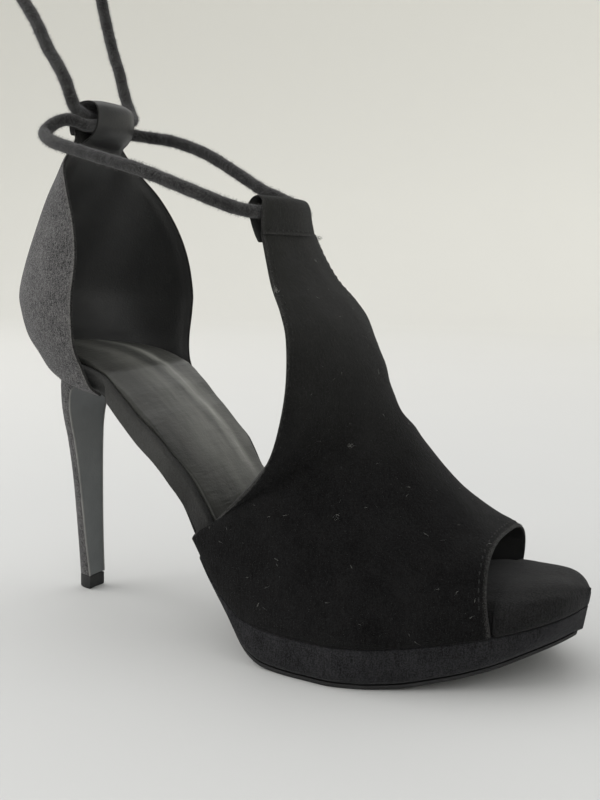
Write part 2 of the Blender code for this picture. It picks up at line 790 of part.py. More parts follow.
def main():
    clear_scene()
    suede = finish("black_suede", SUEDE, 0.92)
    lining = finish("black_lining", LINING, 0.55)
    leather = finish("sock_leather", LEATHER, 0.42)
    rubber = finish("black_rubber", RUBBER, 0.60)
    make_outsole(rubber)
    make_platform(suede)
    make_insole(suede)
    make_sock(leather)
    make_vamp(suede)
    make_counter(suede)
    make_heel(lining)
    make_heel_tip(rubber)
    make_cord("tie_outer", CORD_OUTER, suede)
    make_cord("tie_inner", CORD_INNER, suede)
    make_knot("knot_outer", CORD_OUTER, suede)
    make_knot("knot_inner", CORD_INNER, suede)


main()
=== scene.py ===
"""Looks of one lace up heeled sandal: a right shoe in black suede, standing on a pale floor.

Places are in metres. Shapes are worked out from the back of the heel, with +X to the toe and +Y to the
inner side of the foot, and moved to the part's own origin under the forefoot tread as they are meshed.
"""

import logging
import math
from collections.abc import Callable, Iterable, Sequence
from dataclasses import dataclass, field
from enum import Enum, IntEnum
from typing import ClassVar

import bmesh
import bpy
import numpy as np
from mathutils import Matrix, Vector


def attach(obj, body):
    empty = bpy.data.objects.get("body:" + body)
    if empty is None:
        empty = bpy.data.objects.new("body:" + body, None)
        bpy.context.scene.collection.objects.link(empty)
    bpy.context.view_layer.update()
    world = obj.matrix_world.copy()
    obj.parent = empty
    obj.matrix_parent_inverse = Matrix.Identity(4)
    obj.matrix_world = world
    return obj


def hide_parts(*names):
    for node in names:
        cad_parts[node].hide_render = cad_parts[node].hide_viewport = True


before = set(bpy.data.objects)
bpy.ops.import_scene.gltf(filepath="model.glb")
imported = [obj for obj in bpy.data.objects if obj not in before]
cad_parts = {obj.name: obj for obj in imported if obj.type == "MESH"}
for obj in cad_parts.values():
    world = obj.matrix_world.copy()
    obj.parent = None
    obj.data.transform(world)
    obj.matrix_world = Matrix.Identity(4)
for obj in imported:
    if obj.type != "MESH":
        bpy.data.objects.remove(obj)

LOG = logging.getLogger("sandal")
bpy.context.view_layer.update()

Table = tuple[tuple[float, ...], ...]
Triple = tuple[float, float, float]
Colour = Triple

LENGTH = 0.207
BALL_WIDTH = 0.0765
PLATFORM_HEIGHT = 0.0128
TOE_SPRING = 0.0115
SEAT_HEIGHT = 0.084
STRAP_HEIGHT = 0.134
COUNTER_TOP = 0.165
TREAD_CENTRE = 0.140
GAP = 0.0003
WALL = 0.0018
CORD = 0.0042


def smooth(table: Table, column: int, along: np.ndarray | float) -> np.ndarray:
    """Reads one column of a table on a smooth monotone curve.

    Args:
        table: rows whose first number is the place along.
        column: the column to read.
        along: places along, in the table's own shares.

    Returns:
        The column's values at those places.
    """
    xs = np.array([row[0] for row in table])
    ys = np.array([row[column] for row in table])
    steps = np.diff(xs)
    slopes = np.diff(ys) / steps
    tangents = np.zeros(len(xs))
    tangents[0], tangents[-1] = slopes[0], slopes[-1]
    before, after = slopes[:-1], slopes[1:]
    same = before * after > 0
    wide = 2 * steps[1:] + steps[:-1]
    narrow = steps[1:] + 2 * steps[:-1]
    with np.errstate(divide="ignore", invalid="ignore"):
        blended = (wide + narrow) / (wide / before + narrow / after)
    tangents[1:-1] = np.where(same, blended, 0.0)
    along = np.clip(np.asarray(along, float), xs[0], xs[-1])
    i = np.clip(np.searchsorted(xs, along, side="right") - 1, 0, len(steps) - 1)
    t = (along - xs[i]) / steps[i]
    value = ys[i] * (1 + 2 * t) * (1 - t) ** 2 + ys[i + 1] * t * t * (3 - 2 * t)
    return value + steps[i] * (tangents[i] * t * (1 - t) ** 2 - tangents[i + 1] * t * t * (1 - t))


def ramp(value: np.ndarray | float, start: float, end: float) -> np.ndarray:
    """Share from 0 at start to 1 at end, eased at both ends."""
    t = np.clip((np.asarray(value, float) - start) / (end - start), 0.0, 1.0)
    return t * t * (3 - 2 * t)


def unit(vectors: np.ndarray) -> np.ndarray:
    """The same directions at length one."""
    return vectors / np.maximum(np.linalg.norm(vectors, axis=-1, keepdims=True), 1e-12)


def climb(value: float, start: float, reach: float) -> float:
    """Share from 0 at start to 1 a reach further on, straight between."""
    return float(np.clip((value - start) / reach, 0.0, 1.0))


def run_of(points: np.ndarray) -> np.ndarray:
    """Length along a line of points up to each of them."""
    return np.concatenate([[0.0], np.cumsum(np.linalg.norm(np.diff(points, axis=0), axis=1))])


def read_at(marks: np.ndarray | float, lengths: np.ndarray, values: np.ndarray) -> np.ndarray:
    """Reads points or directions at some lengths along a line.

    Args:
        marks: the lengths to read at.
        lengths: the length at each row of values.
        values: rows of coordinates.

    Returns:
        The coordinates there, one row per mark.
    """
    return np.stack([np.interp(marks, lengths, column) for column in values.T], axis=-1)


def refine(rows: np.ndarray, times: int) -> np.ndarray:
    """Adds rows between rows, on a smooth curve through each column of points.

    Args:
        rows: points, the first axis running from row to row.
        times: how many steps each interval is cut into.

    Returns:
        The finer rows, the last one included.
    """
    padded = np.concatenate([[2 * rows[0] - rows[1]], rows, [2 * rows[-1] - rows[-2]]])
    finer = []
    for i in range(1, len(padded) - 2):
        before, here, there, after = padded[i - 1 : i + 3]
        for step in range(times):
            t = step / times
            bend = 2 * before - 5 * here + 4 * there - after
            twist = 3 * here - before - 3 * there + after
            finer.append(here + 0.5 * t * ((there - before) + t * (bend + t * twist)))
    finer.append(rows[-1])
    return np.array(finer)


def evenly(points: np.ndarray, spacing: float) -> np.ndarray:
    """Points at even steps along a line of points.

    Args:
        points: the line.
        spacing: the step, to the nearest whole number of steps.

    Returns:
        The even points.
    """
    lengths = run_of(points)
    marks = np.linspace(0.0, lengths[-1], max(2, round(lengths[-1] / spacing)) + 1)
    return read_at(marks, lengths, points)


@dataclass(frozen=True)
class Last:
    """The form the sandal is built on, with the tables of its sole."""

    # Plan. Columns: along (share of LENGTH), outer and inner side (shares of BALL_WIDTH).
    plan: Table = (
        (0.0600, -0.010, 0.010), (0.0670, -0.115, 0.115), (0.0870, -0.203, 0.203), (0.1160, -0.262, 0.262),
        (0.1546, -0.310, 0.310), (0.1932, -0.338, 0.335), (0.2319, -0.352, 0.345), (0.2705, -0.362, 0.336),
        (0.3188, -0.366, 0.312), (0.3768, -0.371, 0.290), (0.4251, -0.387, 0.290), (0.4638, -0.405, 0.307),
        (0.5024, -0.421, 0.335), (0.5411, -0.437, 0.374), (0.5797, -0.448, 0.418), (0.6280, -0.456, 0.473),
        (0.6763, -0.456, 0.525), (0.7246, -0.421, 0.569), (0.7633, -0.369, 0.592), (0.8019, -0.311, 0.601),
        (0.8406, -0.243, 0.603), (0.8792, -0.167, 0.583), (0.9179, -0.089, 0.544), (0.9517, -0.010, 0.484),
        (0.9758, 0.068, 0.410), (0.9903, 0.150, 0.342), (0.9990, 0.235, 0.275),
    )
    # Underside of the insole. Columns: along (share of LENGTH), rise (share from platform top to seat).
    arch: Table = (
        (0.000, 1.000), (0.097, 1.000), (0.145, 0.988), (0.193, 0.960), (0.242, 0.918), (0.285, 0.812),
        (0.321, 0.715), (0.355, 0.639), (0.387, 0.548), (0.412, 0.447), (0.430, 0.360), (0.449, 0.285),
        (0.473, 0.185), (0.507, 0.083), (0.536, 0.027), (0.580, 0.004), (0.630, 0.000), (1.000, 0.000),
    )
    # Toe spring. Columns: along, rise of the insole's underside, rise of the tread (shares of TOE_SPRING).
    spring: Table = (
        (0.000, 0.00, 0.00), (0.730, 0.00, 0.00), (0.773, 0.05, 0.04), (0.831, 0.16, 0.22),
        (0.889, 0.30, 0.44), (0.937, 0.47, 0.70), (0.981, 0.68, 0.96), (1.000, 0.78, 1.06),
    )
    # Thickness of the wrapped insole. Columns: along, share of its nominal thickness.
    depth: Table = (
        (0.00, 0.92), (0.15, 0.96), (0.22, 0.98), (0.27, 1.05), (0.32, 1.14), (0.37, 1.20), (0.41, 1.40),
        (0.44, 1.62), (0.48, 1.72), (0.52, 1.55), (0.56, 1.28), (0.62, 1.06), (0.75, 1.08), (0.85, 1.42),
        (0.93, 1.26), (1.00, 1.08),
    )
    # Rear taper of the platform. Columns: along, depth (share of PLATFORM_HEIGHT).
    taper: Table = (
        (0.447, 0.27), (0.471, 0.28), (0.493, 0.36), (0.524, 0.66), (0.548, 0.88), (0.575, 0.985),
        (0.600, 1.00), (1.000, 1.00),
    )
    insole_thickness: float = 0.0076
    outsole_thickness: float = 0.0013

    def outer(self, x: np.ndarray) -> np.ndarray:
        """Outer side of the sole's plan at a place."""
        return BALL_WIDTH * smooth(self.plan, 1, x / LENGTH)

    def inner(self, x: np.ndarray) -> np.ndarray:
        """Inner side of the sole's plan at a place."""
        return BALL_WIDTH * smooth(self.plan, 2, x / LENGTH)

    def under(self, x: np.ndarray) -> np.ndarray:
        """Height of the insole's underside, where vamp and platform meet."""
        rise = smooth(self.arch, 1, x / LENGTH) * (SEAT_HEIGHT - PLATFORM_HEIGHT)
        return PLATFORM_HEIGHT + rise + TOE_SPRING * smooth(self.spring, 1, x / LENGTH)

    def top(self, x: np.ndarray) -> np.ndarray:
        """Height of the insole's top."""
        return self.under(x) + self.insole_thickness * smooth(self.depth, 1, x / LENGTH)

    def tread(self, x: np.ndarray) -> np.ndarray:
        """Height of the outsole's underside.

        Args:
            x: places from the back of the heel.

        Returns:
            The heights: the waist's up to the platform, then the platform's own.
        """
        waist = self.under(x) - GAP - self.outsole_thickness
        depth = PLATFORM_HEIGHT * smooth(self.taper, 1, x / LENGTH)
        flat = self.under(x) - TOE_SPRING * smooth(self.spring, 1, x / LENGTH) - depth
        forward = np.maximum(flat, 0.0) + TOE_SPRING * smooth(self.spring, 2, x / LENGTH)
        return np.where(x < self.taper[0][0] * LENGTH, waist, forward)


LAST = Last()


class Side(Enum):
    """Edges of a sheet of points."""

    FRONT = "first row"
    BACK = "last row"
    OUTER = "first column"
    INNER = "last column"


class Layer(IntEnum):
    """Material slots of a wall of leather."""

    FACE = 0
    LINING = 1
    RIM = 2


class Nap(Enum):
    """How short fibres lie on a surface."""

    UPRIGHT = 0.25
    BRUSHED = 0.9


@dataclass
class Net:
    """Vertices, faces and the facts per vertex of a mesh that is being put together."""

    points: list[np.ndarray] = field(default_factory=list)
    faces: list[np.ndarray] = field(default_factory=list)
    slots: list[np.ndarray] = field(default_factory=list)
    edges: list[np.ndarray] = field(default_factory=list)
    count: int = 0

    def add(self, points: np.ndarray, faces: np.ndarray, slot: int = 0,
            edge: np.ndarray | None = None) -> None:
        """Adds points and the faces between them.

        Args:
            points: places from the back of the heel.
            faces: corner numbers within these points, three or four to a face.
            slot: the material slot of the faces.
            edge: how near each point is to a raw edge, from 0 to 1.
        """
        self.points.append(points)
        self.faces.append(faces + self.count)
        self.slots.append(np.full(len(faces), slot, np.int32))
        self.edges.append(np.zeros(len(points)) if edge is None else edge)
        self.count += len(points)

    def grid(self, points: np.ndarray, slot: int = 0, edge: np.ndarray | None = None, closed: bool = False,
             flip: bool = False) -> None:
        """Adds a sheet of points as quads.

        Args:
            points: rows by columns by three.
            slot: the material slot of the faces.
            edge: how near each point is to a raw edge, rows by columns.
            closed: whether the last column joins the first.
            flip: whether the faces look the other way.
        """
        rows, columns = points.shape[:2]
        numbers = np.arange(rows * columns).reshape(rows, columns)
        if closed:
            numbers = np.concatenate([numbers, numbers[:, :1]], axis=1)
        faces = np.stack([numbers[:-1, :-1], numbers[:-1, 1:], numbers[1:, 1:], numbers[1:, :-1]], axis=-1)
        faces = faces.reshape(-1, 4)
        if flip:
            faces = faces[:, ::-1]
        self.add(points.reshape(-1, 3), faces, slot, None if edge is None else edge.ravel())

    def cap(self, ring: np.ndarray, slot: int = 0) -> None:
        """Adds one face over a ring of points."""
        self.add(ring, np.arange(len(ring))[None], slot)

    def loft(self, rings: np.ndarray, slot: int = 0) -> None:
        """Adds a closed shape through rings of points.

        Args:
            rings: rings by points by three.
            slot: the material slot of the faces.
        """
        self.grid(rings, slot, closed=True)
        for end in (0, -1):
            self.cap(rings[end], slot)

    def build(self, name: str, materials: Sequence[bpy.types.Material], finish: str,
              node: str | None = None, smooth_angle: float = 50.0, weld: float = 1e-6) -> bpy.types.Object:
        """Makes the object, lets it ride on the body and hides the solid it stands for.

        Args:
            name: the piece's name.
            materials: its materials, by slot.
            finish: the name of its material in the library; not used.
            node: the solid it stands for, if any.
            smooth_angle: edges sharper than this many degrees stay sharp.
            weld: points nearer than this become one, and 0 leaves them apart.

        Returns:
            The new object.
        """
        points = np.concatenate(self.points) - np.array([TREAD_CENTRE, 0.0, 0.0])
        faces = [face.tolist() for block in self.faces for face in block]
        mesh = bpy.data.meshes.new(name)
        mesh.from_pydata(points.tolist(), [], faces)
        mesh.polygons.foreach_set("material_index", np.concatenate(self.slots))
        near = mesh.attributes.new("raw_edge", "FLOAT", "POINT")
        near.data.foreach_set("value", np.concatenate(self.edges).astype(np.float32))
        for material in materials:
            mesh.materials.append(material)
        if weld:
            self.weld(mesh, weld)
        mesh.shade_smooth()
        mesh.set_sharp_from_angle(angle=math.radians(smooth_angle))
        made = bpy.data.objects.new(name, mesh)
        bpy.context.scene.collection.objects.link(made)
        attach(made, "root")
        if node:
            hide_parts(node)
        LOG.info("%s: %d faces", name, len(mesh.polygons))
        return made

    @staticmethod
    def weld(mesh: bpy.types.Mesh, distance: float) -> None:
        """Joins points nearer than a distance and turns the faces of a closed mesh outward.

        Args:
            mesh: the mesh.
            distance: the distance.
        """
        shape = bmesh.new()
        shape.from_mesh(mesh)
        bmesh.ops.remove_doubles(shape, verts=shape.verts, dist=distance)
        bmesh.ops.recalc_face_normals(shape, faces=shape.faces)
        shape.to_mesh(mesh)
        shape.free()


def settle(values: np.ndarray, reach: int) -> np.ndarray:
    """Directions along an edge, each averaged with its neighbours.

    Args:
        values: one direction for each point of the edge.
        reach: how many neighbours on either side count.

    Returns:
        The directions, as unit vectors.
    """
    padded = np.pad(values, ((reach, reach), (0, 0)), mode="edge")
    share = np.full(2 * reach + 1, 1.0 / (2 * reach + 1))
    return unit(np.stack([np.convolve(padded[:, axis], share, "valid") for axis in range(3)], axis=1))


@dataclass
class Sheet:
    """A curved sheet of leather given by its outer face, with a wall behind it."""

    outer: np.ndarray
    thickness: float
    outwards: float
    level_rows: int = 0
    rim_steps: int = 4
    skiving: float = 0.0030
    skived: float = 0.50
    edge_width: float = 0.0010
    rim_bulge: float = 0.55
    level_fade: int = 12
    level_columns: int = 6
    steady_column: int = 10
    agreement: float = 0.8
    taper: float = 0.0004
    held_edge: float = 0.006

    def normals(self) -> np.ndarray:
        """Directions away from the wall at each point of the outer face.

        Returns:
            The directions, level along the edges of the rows that stand on the sole.
        """
        cross = np.cross(np.gradient(self.outer, axis=0), np.gradient(self.outer, axis=1))
        made = unit(self.outwards * cross)
        if self.level_rows:
            # Rows and columns run side by side at the throat's corner, so its normals come from further in.
            inmost = self.steady_column
            for step in range(inmost):
                for column, steady in ((step, inmost), (-1 - step, -1 - inmost)):
                    agree = np.sum(made[:, column] * made[:, steady], axis=-1, keepdims=True)
                    made[:, column] = np.where(agree < self.agreement, made[:, steady], made[:, column])
            end = self.level_rows + self.level_fade
            share = 1.0 - ramp(np.arange(len(made)), self.level_rows - 1.0, end)
            for step in range(self.level_columns):
                kept = 1.0 - share * (1.0 - step / self.level_columns)
                for column in (step, -1 - step):
                    made[:, column, 0] *= kept
                    made[:, column, 2] *= kept
                    made[:, column] = settle(unit(made[:, column]), self.level_columns - step)
        return unit(made)

    def inner(self) -> np.ndarray:
        """The wall's inner face, nearer to the outer one along the edges, where the leather is skived."""
        near = np.exp(-((self.distances(list(Side)) / self.skiving) ** 2))
        return self.outer - self.thickness * (1.0 - self.skived * near)[..., None] * self.normals()

    def press(self, depth: np.ndarray) -> None:
        """Moves the outer face along its normals, less and less towards its edges.

        Args:
            depth: how far each point moves.
        """
        hold = np.clip(self.distances(list(Side)) / self.held_edge, 0.0, 1.0)
        self.outer = self.outer + self.normals() * (depth * hold)[..., None]

    def border(self, face: np.ndarray, side: Side) -> tuple[np.ndarray, np.ndarray]:
        """The points along one edge of a face, and points a little further in.

        Args:
            face: rows by columns by three.
            side: the edge.

        Returns:
            Both rows of points.
        """
        picks = {
            Side.FRONT: (face[0], face[1]), Side.BACK: (face[-1], face[-2]),
            Side.OUTER: (face[:, 0], face[:, 3]), Side.INNER: (face[:, -1], face[:, -4]),
        }
        return picks[side]

    def distances(self, sides: Iterable[Side]) -> np.ndarray:
        """Distance over the outer face from each point to the nearest of some edges.

        Args:
            sides: the edges that count, apart from where they stand on the sole.

        Returns:
            The distances, rows by columns.
        """
        found = np.full(self.outer.shape[:2], 1.0)
        for side in sides:
            axis = 0 if side in (Side.FRONT, Side.BACK) else 1
            steps = np.linalg.norm(np.diff(self.outer, axis=axis), axis=-1)
            zero = np.zeros_like(np.take(steps, [0], axis=axis))
            run = np.concatenate([zero, np.cumsum(steps, axis=axis)], axis=axis)
            if side in (Side.BACK, Side.INNER):
                run = np.take(run, [-1], axis=axis) - run
            if side in (Side.OUTER, Side.INNER):
                until = self.taper * (self.level_rows - np.arange(self.level_rows))
                run[: self.level_rows] = np.maximum(run[: self.level_rows], until[:, None])
            found = np.minimum(found, run)
        return found

    def inset(self, side: Side, distance: float) -> tuple[np.ndarray, np.ndarray]:
        """A line over the outer face at a distance from one edge.

        Args:
            side: the edge it follows.
            distance: how far in it lies.

        Returns:
            Its points and the face's normals there.
        """
        turned = self.outer if side in (Side.OUTER, Side.INNER) else self.outer.swapaxes(0, 1)
        normals = self.normals() if side in (Side.OUTER, Side.INNER) else self.normals().swapaxes(0, 1)
        if side in (Side.INNER, Side.BACK):
            turned, normals = turned[:, ::-1], normals[:, ::-1]
        points, directions = [], []
        for row, ups in zip(turned, normals):
            lengths = run_of(row)
            points.append(read_at(distance, lengths, row))
            directions.append(read_at(distance, lengths, ups))
        return np.array(points), unit(np.array(directions))

    def fill(self, net: Net, raw: Sequence[Side]) -> None:
        """Adds the outer face, the lining face and rounded rims to a net.

        Args:
            net: the mesh being made.
            raw: the sides that are raw edges and show a lighter, frayed nap.
        """
        near = 1.0 - np.clip(self.distances(raw) / self.edge_width, 0.0, 1.0)
        inner = self.inner()
        net.grid(self.outer, Layer.FACE, near)
        net.grid(inner, Layer.LINING, flip=True)
        for side in Side:
            front, beside = self.border(self.outer, side)
            back, _ = self.border(inner, side)
            beyond = settle(unit(front - beside), 7 if self.level_rows else 1)
            rim = []
            for step in range(self.rim_steps + 1):
                turn = math.pi * step / self.rim_steps
                swing = 0.5 * self.thickness * self.rim_bulge * math.sin(turn)
                rim.append(0.5 * (front + back) + 0.5 * (front - back) * math.cos(turn) + beyond * swing)
            strip = np.array(rim)
            folded = self.level_rows if side in (Side.OUTER, Side.INNER) else 0
            mark = np.full((self.rim_steps + 1, len(front)), 1.0 if side in raw else 0.0)
            mark[:, :folded] = 0.0
            if folded:
                net.grid(strip[:, : folded + 1], Layer.FACE, mark[:, : folded + 1])
            net.grid(strip[:, folded:], Layer.RIM, mark[:, folded:])


class Graph:
    """The node tree of one material, built from its shader back."""

    def __init__(self, name: str) -> None:
        """Starts a material with its shader.

        Args:
            name: the material's name.
        """
        self.material = bpy.data.materials.new(name)
        self.material.use_nodes = True
        self.tree = self.material.node_tree
        self.shader = self.tree.nodes["Principled BSDF"]
        self.place = self.node("TexCoord").outputs["Object"]

    def feed(self, socket: bpy.types.NodeSocket, value: object) -> None:
        """Links a node or a socket to an input, or sets the input's own value.

        Args:
            socket: the input.
            value: a node, a socket or a plain value.
        """
        if isinstance(value, bpy.types.Node):
            value = value.outputs[0]
        if isinstance(value, bpy.types.NodeSocket):
            self.tree.links.new(value, socket)
        else:
            socket.default_value = value

    def node(self, kind: str, inputs: dict[str | int, object] | None = None,
             **settings: object) -> bpy.types.Node:
        """Adds a node.

        Args:
            kind: its type without the leading word.
            inputs: what goes into its sockets.
            **settings: its properties.

        Returns:
            The node.
        """
        made = self.tree.nodes.new("ShaderNode" + kind)
        for name, value in settings.items():
            setattr(made, name, value)
        for key, value in (inputs or {}).items():
            self.feed(made.inputs[key], value)
        return made

    def noise(self, scale: float, detail: float = 3.0, rough: float = 0.55,
              stretch: Triple = (1.0, 1.0, 1.0)) -> bpy.types.Node:
        """Fractal noise over the object, stretched along its axes.

        Args:
            scale: how fine it is.
            detail: how many finer layers it has.
            rough: how strong the finer layers are.
            stretch: how much finer it is along each axis.

        Returns:
            The noise node.
        """
        spread = self.node("Mapping", {"Vector": self.place, "Scale": stretch})
        return self.node("TexNoise", {"Vector": spread, "Scale": scale, "Detail": detail,
                                      "Roughness": rough})

    def math(self, operation: str, first: object, second: object = 0.0,
             clamp: bool = False) -> bpy.types.Node:
        """One step of arithmetic."""
        return self.node("Math", {0: first, 1: second}, operation=operation, use_clamp=clamp)

    def blend(self, share: object, first: object, second: object, mode: str = "MIX") -> bpy.types.Node:
        """Mixes two colours."""
        return self.node("MixRGB", {"Fac": share, "Color1": first, "Color2": second}, blend_type=mode)

    def steps(self, share: object, stops: Sequence[tuple[float, Colour]]) -> bpy.types.Node:
        """A colour read from a row of stops.

        Args:
            share: the place in the row, from 0 to 1.
            stops: each stop's place and colour.

        Returns:
            The node.
        """
        made = self.node("ValToRGB", {"Fac": share})
        ramp_of = made.color_ramp
        while len(ramp_of.elements) < len(stops):
            ramp_of.elements.new(0.5)
        for element, (position, colour) in zip(ramp_of.elements, stops):
            element.position = position
            element.color = (*colour, 1.0)
        return made

    def levels(self, value: object, low: float, high: float) -> bpy.types.Node:
        """Stretches a range of values to 0 to 1."""
        return self.node("MapRange", {"Value": value, "From Min": low, "From Max": high})

    def bumps(self, layers: Sequence[tuple[object, float]]) -> None:
        """Stacks bumps and links them to the shader.

        Args:
            layers: each bump's height and its depth in metres.
        """
        last = None
        for height, depth in layers:
            inputs = {"Height": height, "Distance": depth, "Strength": 1.0}
            if last is not None:
                inputs["Normal"] = last
            last = self.node("Bump", inputs)
        self.feed(self.shader.inputs["Normal"], last)

    def surface(self, **values: object) -> bpy.types.Material:
        """Sets the shader's sockets.

        Args:
            **values: what goes into each socket, named with underscores for spaces.

        Returns:
            The material.
        """
        for name, value in values.items():
            self.feed(self.shader.inputs[name.replace("_", " ")], value)
        return self.material


@dataclass(frozen=True)
class Suede:
    """Brushed suede: two tones of nap in patches and combed streaks, with a frayed, lighter raw edge."""

    name: str
    deep: Colour
    raised: Colour
    frayed: Colour
    patch_scale: float = 70.0
    patch_share: float = 0.45
    comb: Triple = (1.0, 1.0, 0.25)
    comb_share: float = 0.25
    sheen: float = 0.25
    sheen_roughness: float = 0.45
    grain_depth: float = 0.00016
    # Painted light: a paler tone added more and more with height, between the two heights below.
    wear_and_painted_light: Colour = (0.0, 0.0, 0.0)
    painted_light_from: float = 0.055
    painted_light_to: float = 0.140

    def build(self) -> bpy.types.Material:
        """Puts the node tree together.

        Returns:
            The material.
        """
        g = Graph(self.name)
        patches = g.levels(g.noise(self.patch_scale, 3.0, 0.6), 0.32, 0.68)
        streaks = g.levels(g.noise(1500.0, 3.0, 0.6, self.comb), 0.34, 0.66)
        specks = g.levels(g.noise(2300.0, 2.0, 0.6), 0.40, 0.62)
        rest = 1.0 - self.patch_share - self.comb_share
        combed, broad = g.math("MULTIPLY", streaks, self.comb_share), g.math("MULTIPLY", specks, rest)
        tone = g.math("ADD", g.math("MULTIPLY", patches, self.patch_share), g.math("ADD", combed, broad))
        colour = g.steps(tone, [(0.15, self.deep), (0.85, self.raised)])
        # Painted light: a paler tone is added more and more with height.
        height = g.node("SeparateXYZ", {"Vector": g.place}).outputs["Z"]
        colour = g.blend(g.levels(height, self.painted_light_from, self.painted_light_to), colour, (*self.wear_and_painted_light, 1.0), "ADD")
        bits = g.levels(g.noise(1500.0, 2.0, 0.5), 0.70, 0.78)
        colour = g.blend(g.math("MULTIPLY", bits, 0.35), colour, (*self.frayed, 1.0))
        edge = g.node("Attribute", attribute_name="raw_edge").outputs["Fac"]
        fray = g.math("MULTIPLY", edge, g.levels(g.noise(1800.0, 3.0, 0.6), 0.35, 0.62), clamp=True)
        colour = g.blend(fray, colour, (*self.frayed, 1.0))
        pile = g.noise(3200.0, 3.0, 0.7)
        g.bumps([(g.noise(160.0, 3.0), 0.00030), (streaks, 0.5 * self.grain_depth),
                 (pile, self.grain_depth)])
        return g.surface(Base_Color=colour, Roughness=0.95, Specular_IOR_Level=0.12,
                         Sheen_Weight=self.sheen, Sheen_Roughness=self.sheen_roughness,
                         Sheen_Tint=(0.85, 0.86, 0.90, 1.0))


@dataclass(frozen=True)
class SmoothLeather:
    """Coated lining leather: a satin surface with a fine grain and cross wrinkles."""

    name: str
    dark: Colour
    light: Colour
    roughness: float
    wrinkles: float
    grain: float = 0.00005
    specular: float = 0.5
    cloud_scale: float = 55.0
    cloud_stretch: Triple = (1.0, 1.0, 1.0)
    # Tones across the width, each a place and a multiplier: painted highlight and shade, such as a bright
    # streak and darker borders.
    across: Sequence[tuple[float, float]] = ()
    across_half: float = 0.022

    def build(self) -> bpy.types.Material:
        """Puts the node tree together.

        Returns:
            The material.
        """
        g = Graph(self.name)
        cloud = g.levels(g.noise(self.cloud_scale, 4.0, 0.6, self.cloud_stretch), 0.3, 0.7)
        colour = g.steps(cloud, [(0.1, self.dark), (0.9, self.light)])
        # Painted highlight and shade: a row of tones across the width multiplies the colour.
        if self.across:
            side = g.node("SeparateXYZ", {"Vector": g.place}).outputs["Y"]
            wander = g.math("MULTIPLY", g.math("SUBTRACT", g.noise(30.0, 2.0), 0.5), 0.006)
            share = g.levels(g.math("ADD", side, wander), -self.across_half, self.across_half)
            tones = g.steps(share, [(place, (tone, tone, tone)) for place, tone in self.across])
            colour = g.blend(1.0, colour, tones, "MULTIPLY")
        folds = g.noise(260.0, 4.0, 0.6, (1.0, 0.16, 1.0))
        fine = g.noise(900.0, 3.0, 0.6, (1.0, 0.3, 1.0))
        pores = g.node("TexVoronoi", {"Vector": g.place, "Scale": 1500.0}, feature="SMOOTH_F1")
        g.bumps([(folds, self.wrinkles), (fine, 0.25 * self.wrinkles), (pores, self.grain)])
        rough = g.math("ADD", g.math("MULTIPLY", folds, 0.16), self.roughness - 0.08)
        return g.surface(Base_Color=colour, Roughness=rough, Specular_IOR_Level=self.specular)


@dataclass(frozen=True)
class Rubber:
    """Matt moulded rubber with fine scuffs."""

    name: str
    dark: Colour
    wear_and_painted_light: Colour
    roughness: float = 0.62

    def build(self) -> bpy.types.Material:
        """Puts the node tree together.

        Returns:
            The material.
        """
        g = Graph(self.name)
        scuffs = g.levels(g.noise(240.0, 5.0, 0.7, (0.35, 1.0, 1.0)), 0.45, 0.8)
        colour = g.steps(scuffs, [(0.2, self.dark), (1.0, self.wear_and_painted_light)])
        grain = g.noise(2600.0, 2.0, 0.5)
        g.bumps([(g.noise(420.0, 3.0), 0.00006), (grain, 0.00003)])
        rough = g.math("ADD", g.math("MULTIPLY", scuffs, 0.2), self.roughness)
        return g.surface(Base_Color=colour, Roughness=rough, Specular_IOR_Level=0.4)


@dataclass(frozen=True)
class Fibre:
    """Loose nap, thread or lint: a soft colour that shifts a little from fibre to fibre."""

    name: str
    dark: Colour
    light: Colour
    sheen: float = 0.3

    def build(self) -> bpy.types.Material:
        """Puts the node tree together.

        Returns:
            The material.
        """
        g = Graph(self.name)
        colour = g.steps(g.levels(g.noise(700.0, 2.0), 0.3, 0.7), [(0.2, self.dark), (0.8, self.light)])
        twist = g.noise(2600.0, 2.0, 0.5)
        g.bumps([(twist, 0.00004)])
        return g.surface(Base_Color=colour, Roughness=0.9, Specular_IOR_Level=0.15, Sheen_Weight=self.sheen,
                         Sheen_Roughness=0.5)


@dataclass(frozen=True)
class Plain:
    """The pale matt sheet that the sandal stands on."""

    name: str
    colour: Colour
    near: Colour
    middle: Colour
    near_radius: float = 0.25
    far_radius: float = 2.2

    def build(self) -> bpy.types.Material:
        """Puts the node tree together.

        Returns:
            The material.
        """
        g = Graph(self.name)
        away = g.node("VectorMath", {0: g.place}, operation="LENGTH").outputs["Value"]
        drift = g.math("MULTIPLY", g.math("SUBTRACT", g.noise(5.0, 3.0), 0.5), 0.12)
        share = g.levels(g.math("ADD", away, drift), self.near_radius, self.far_radius)
        # Painted light: the colour is darker about the shoe and paler out to and up the curved wall,
        # setting how bright floor and wall look under the lamps.
        colour = g.steps(share, [(0.0, self.near), (0.24, self.middle), (1.0, self.colour)])
        return g.surface(Base_Color=colour, Roughness=0.85, Specular_IOR_Level=0.25)


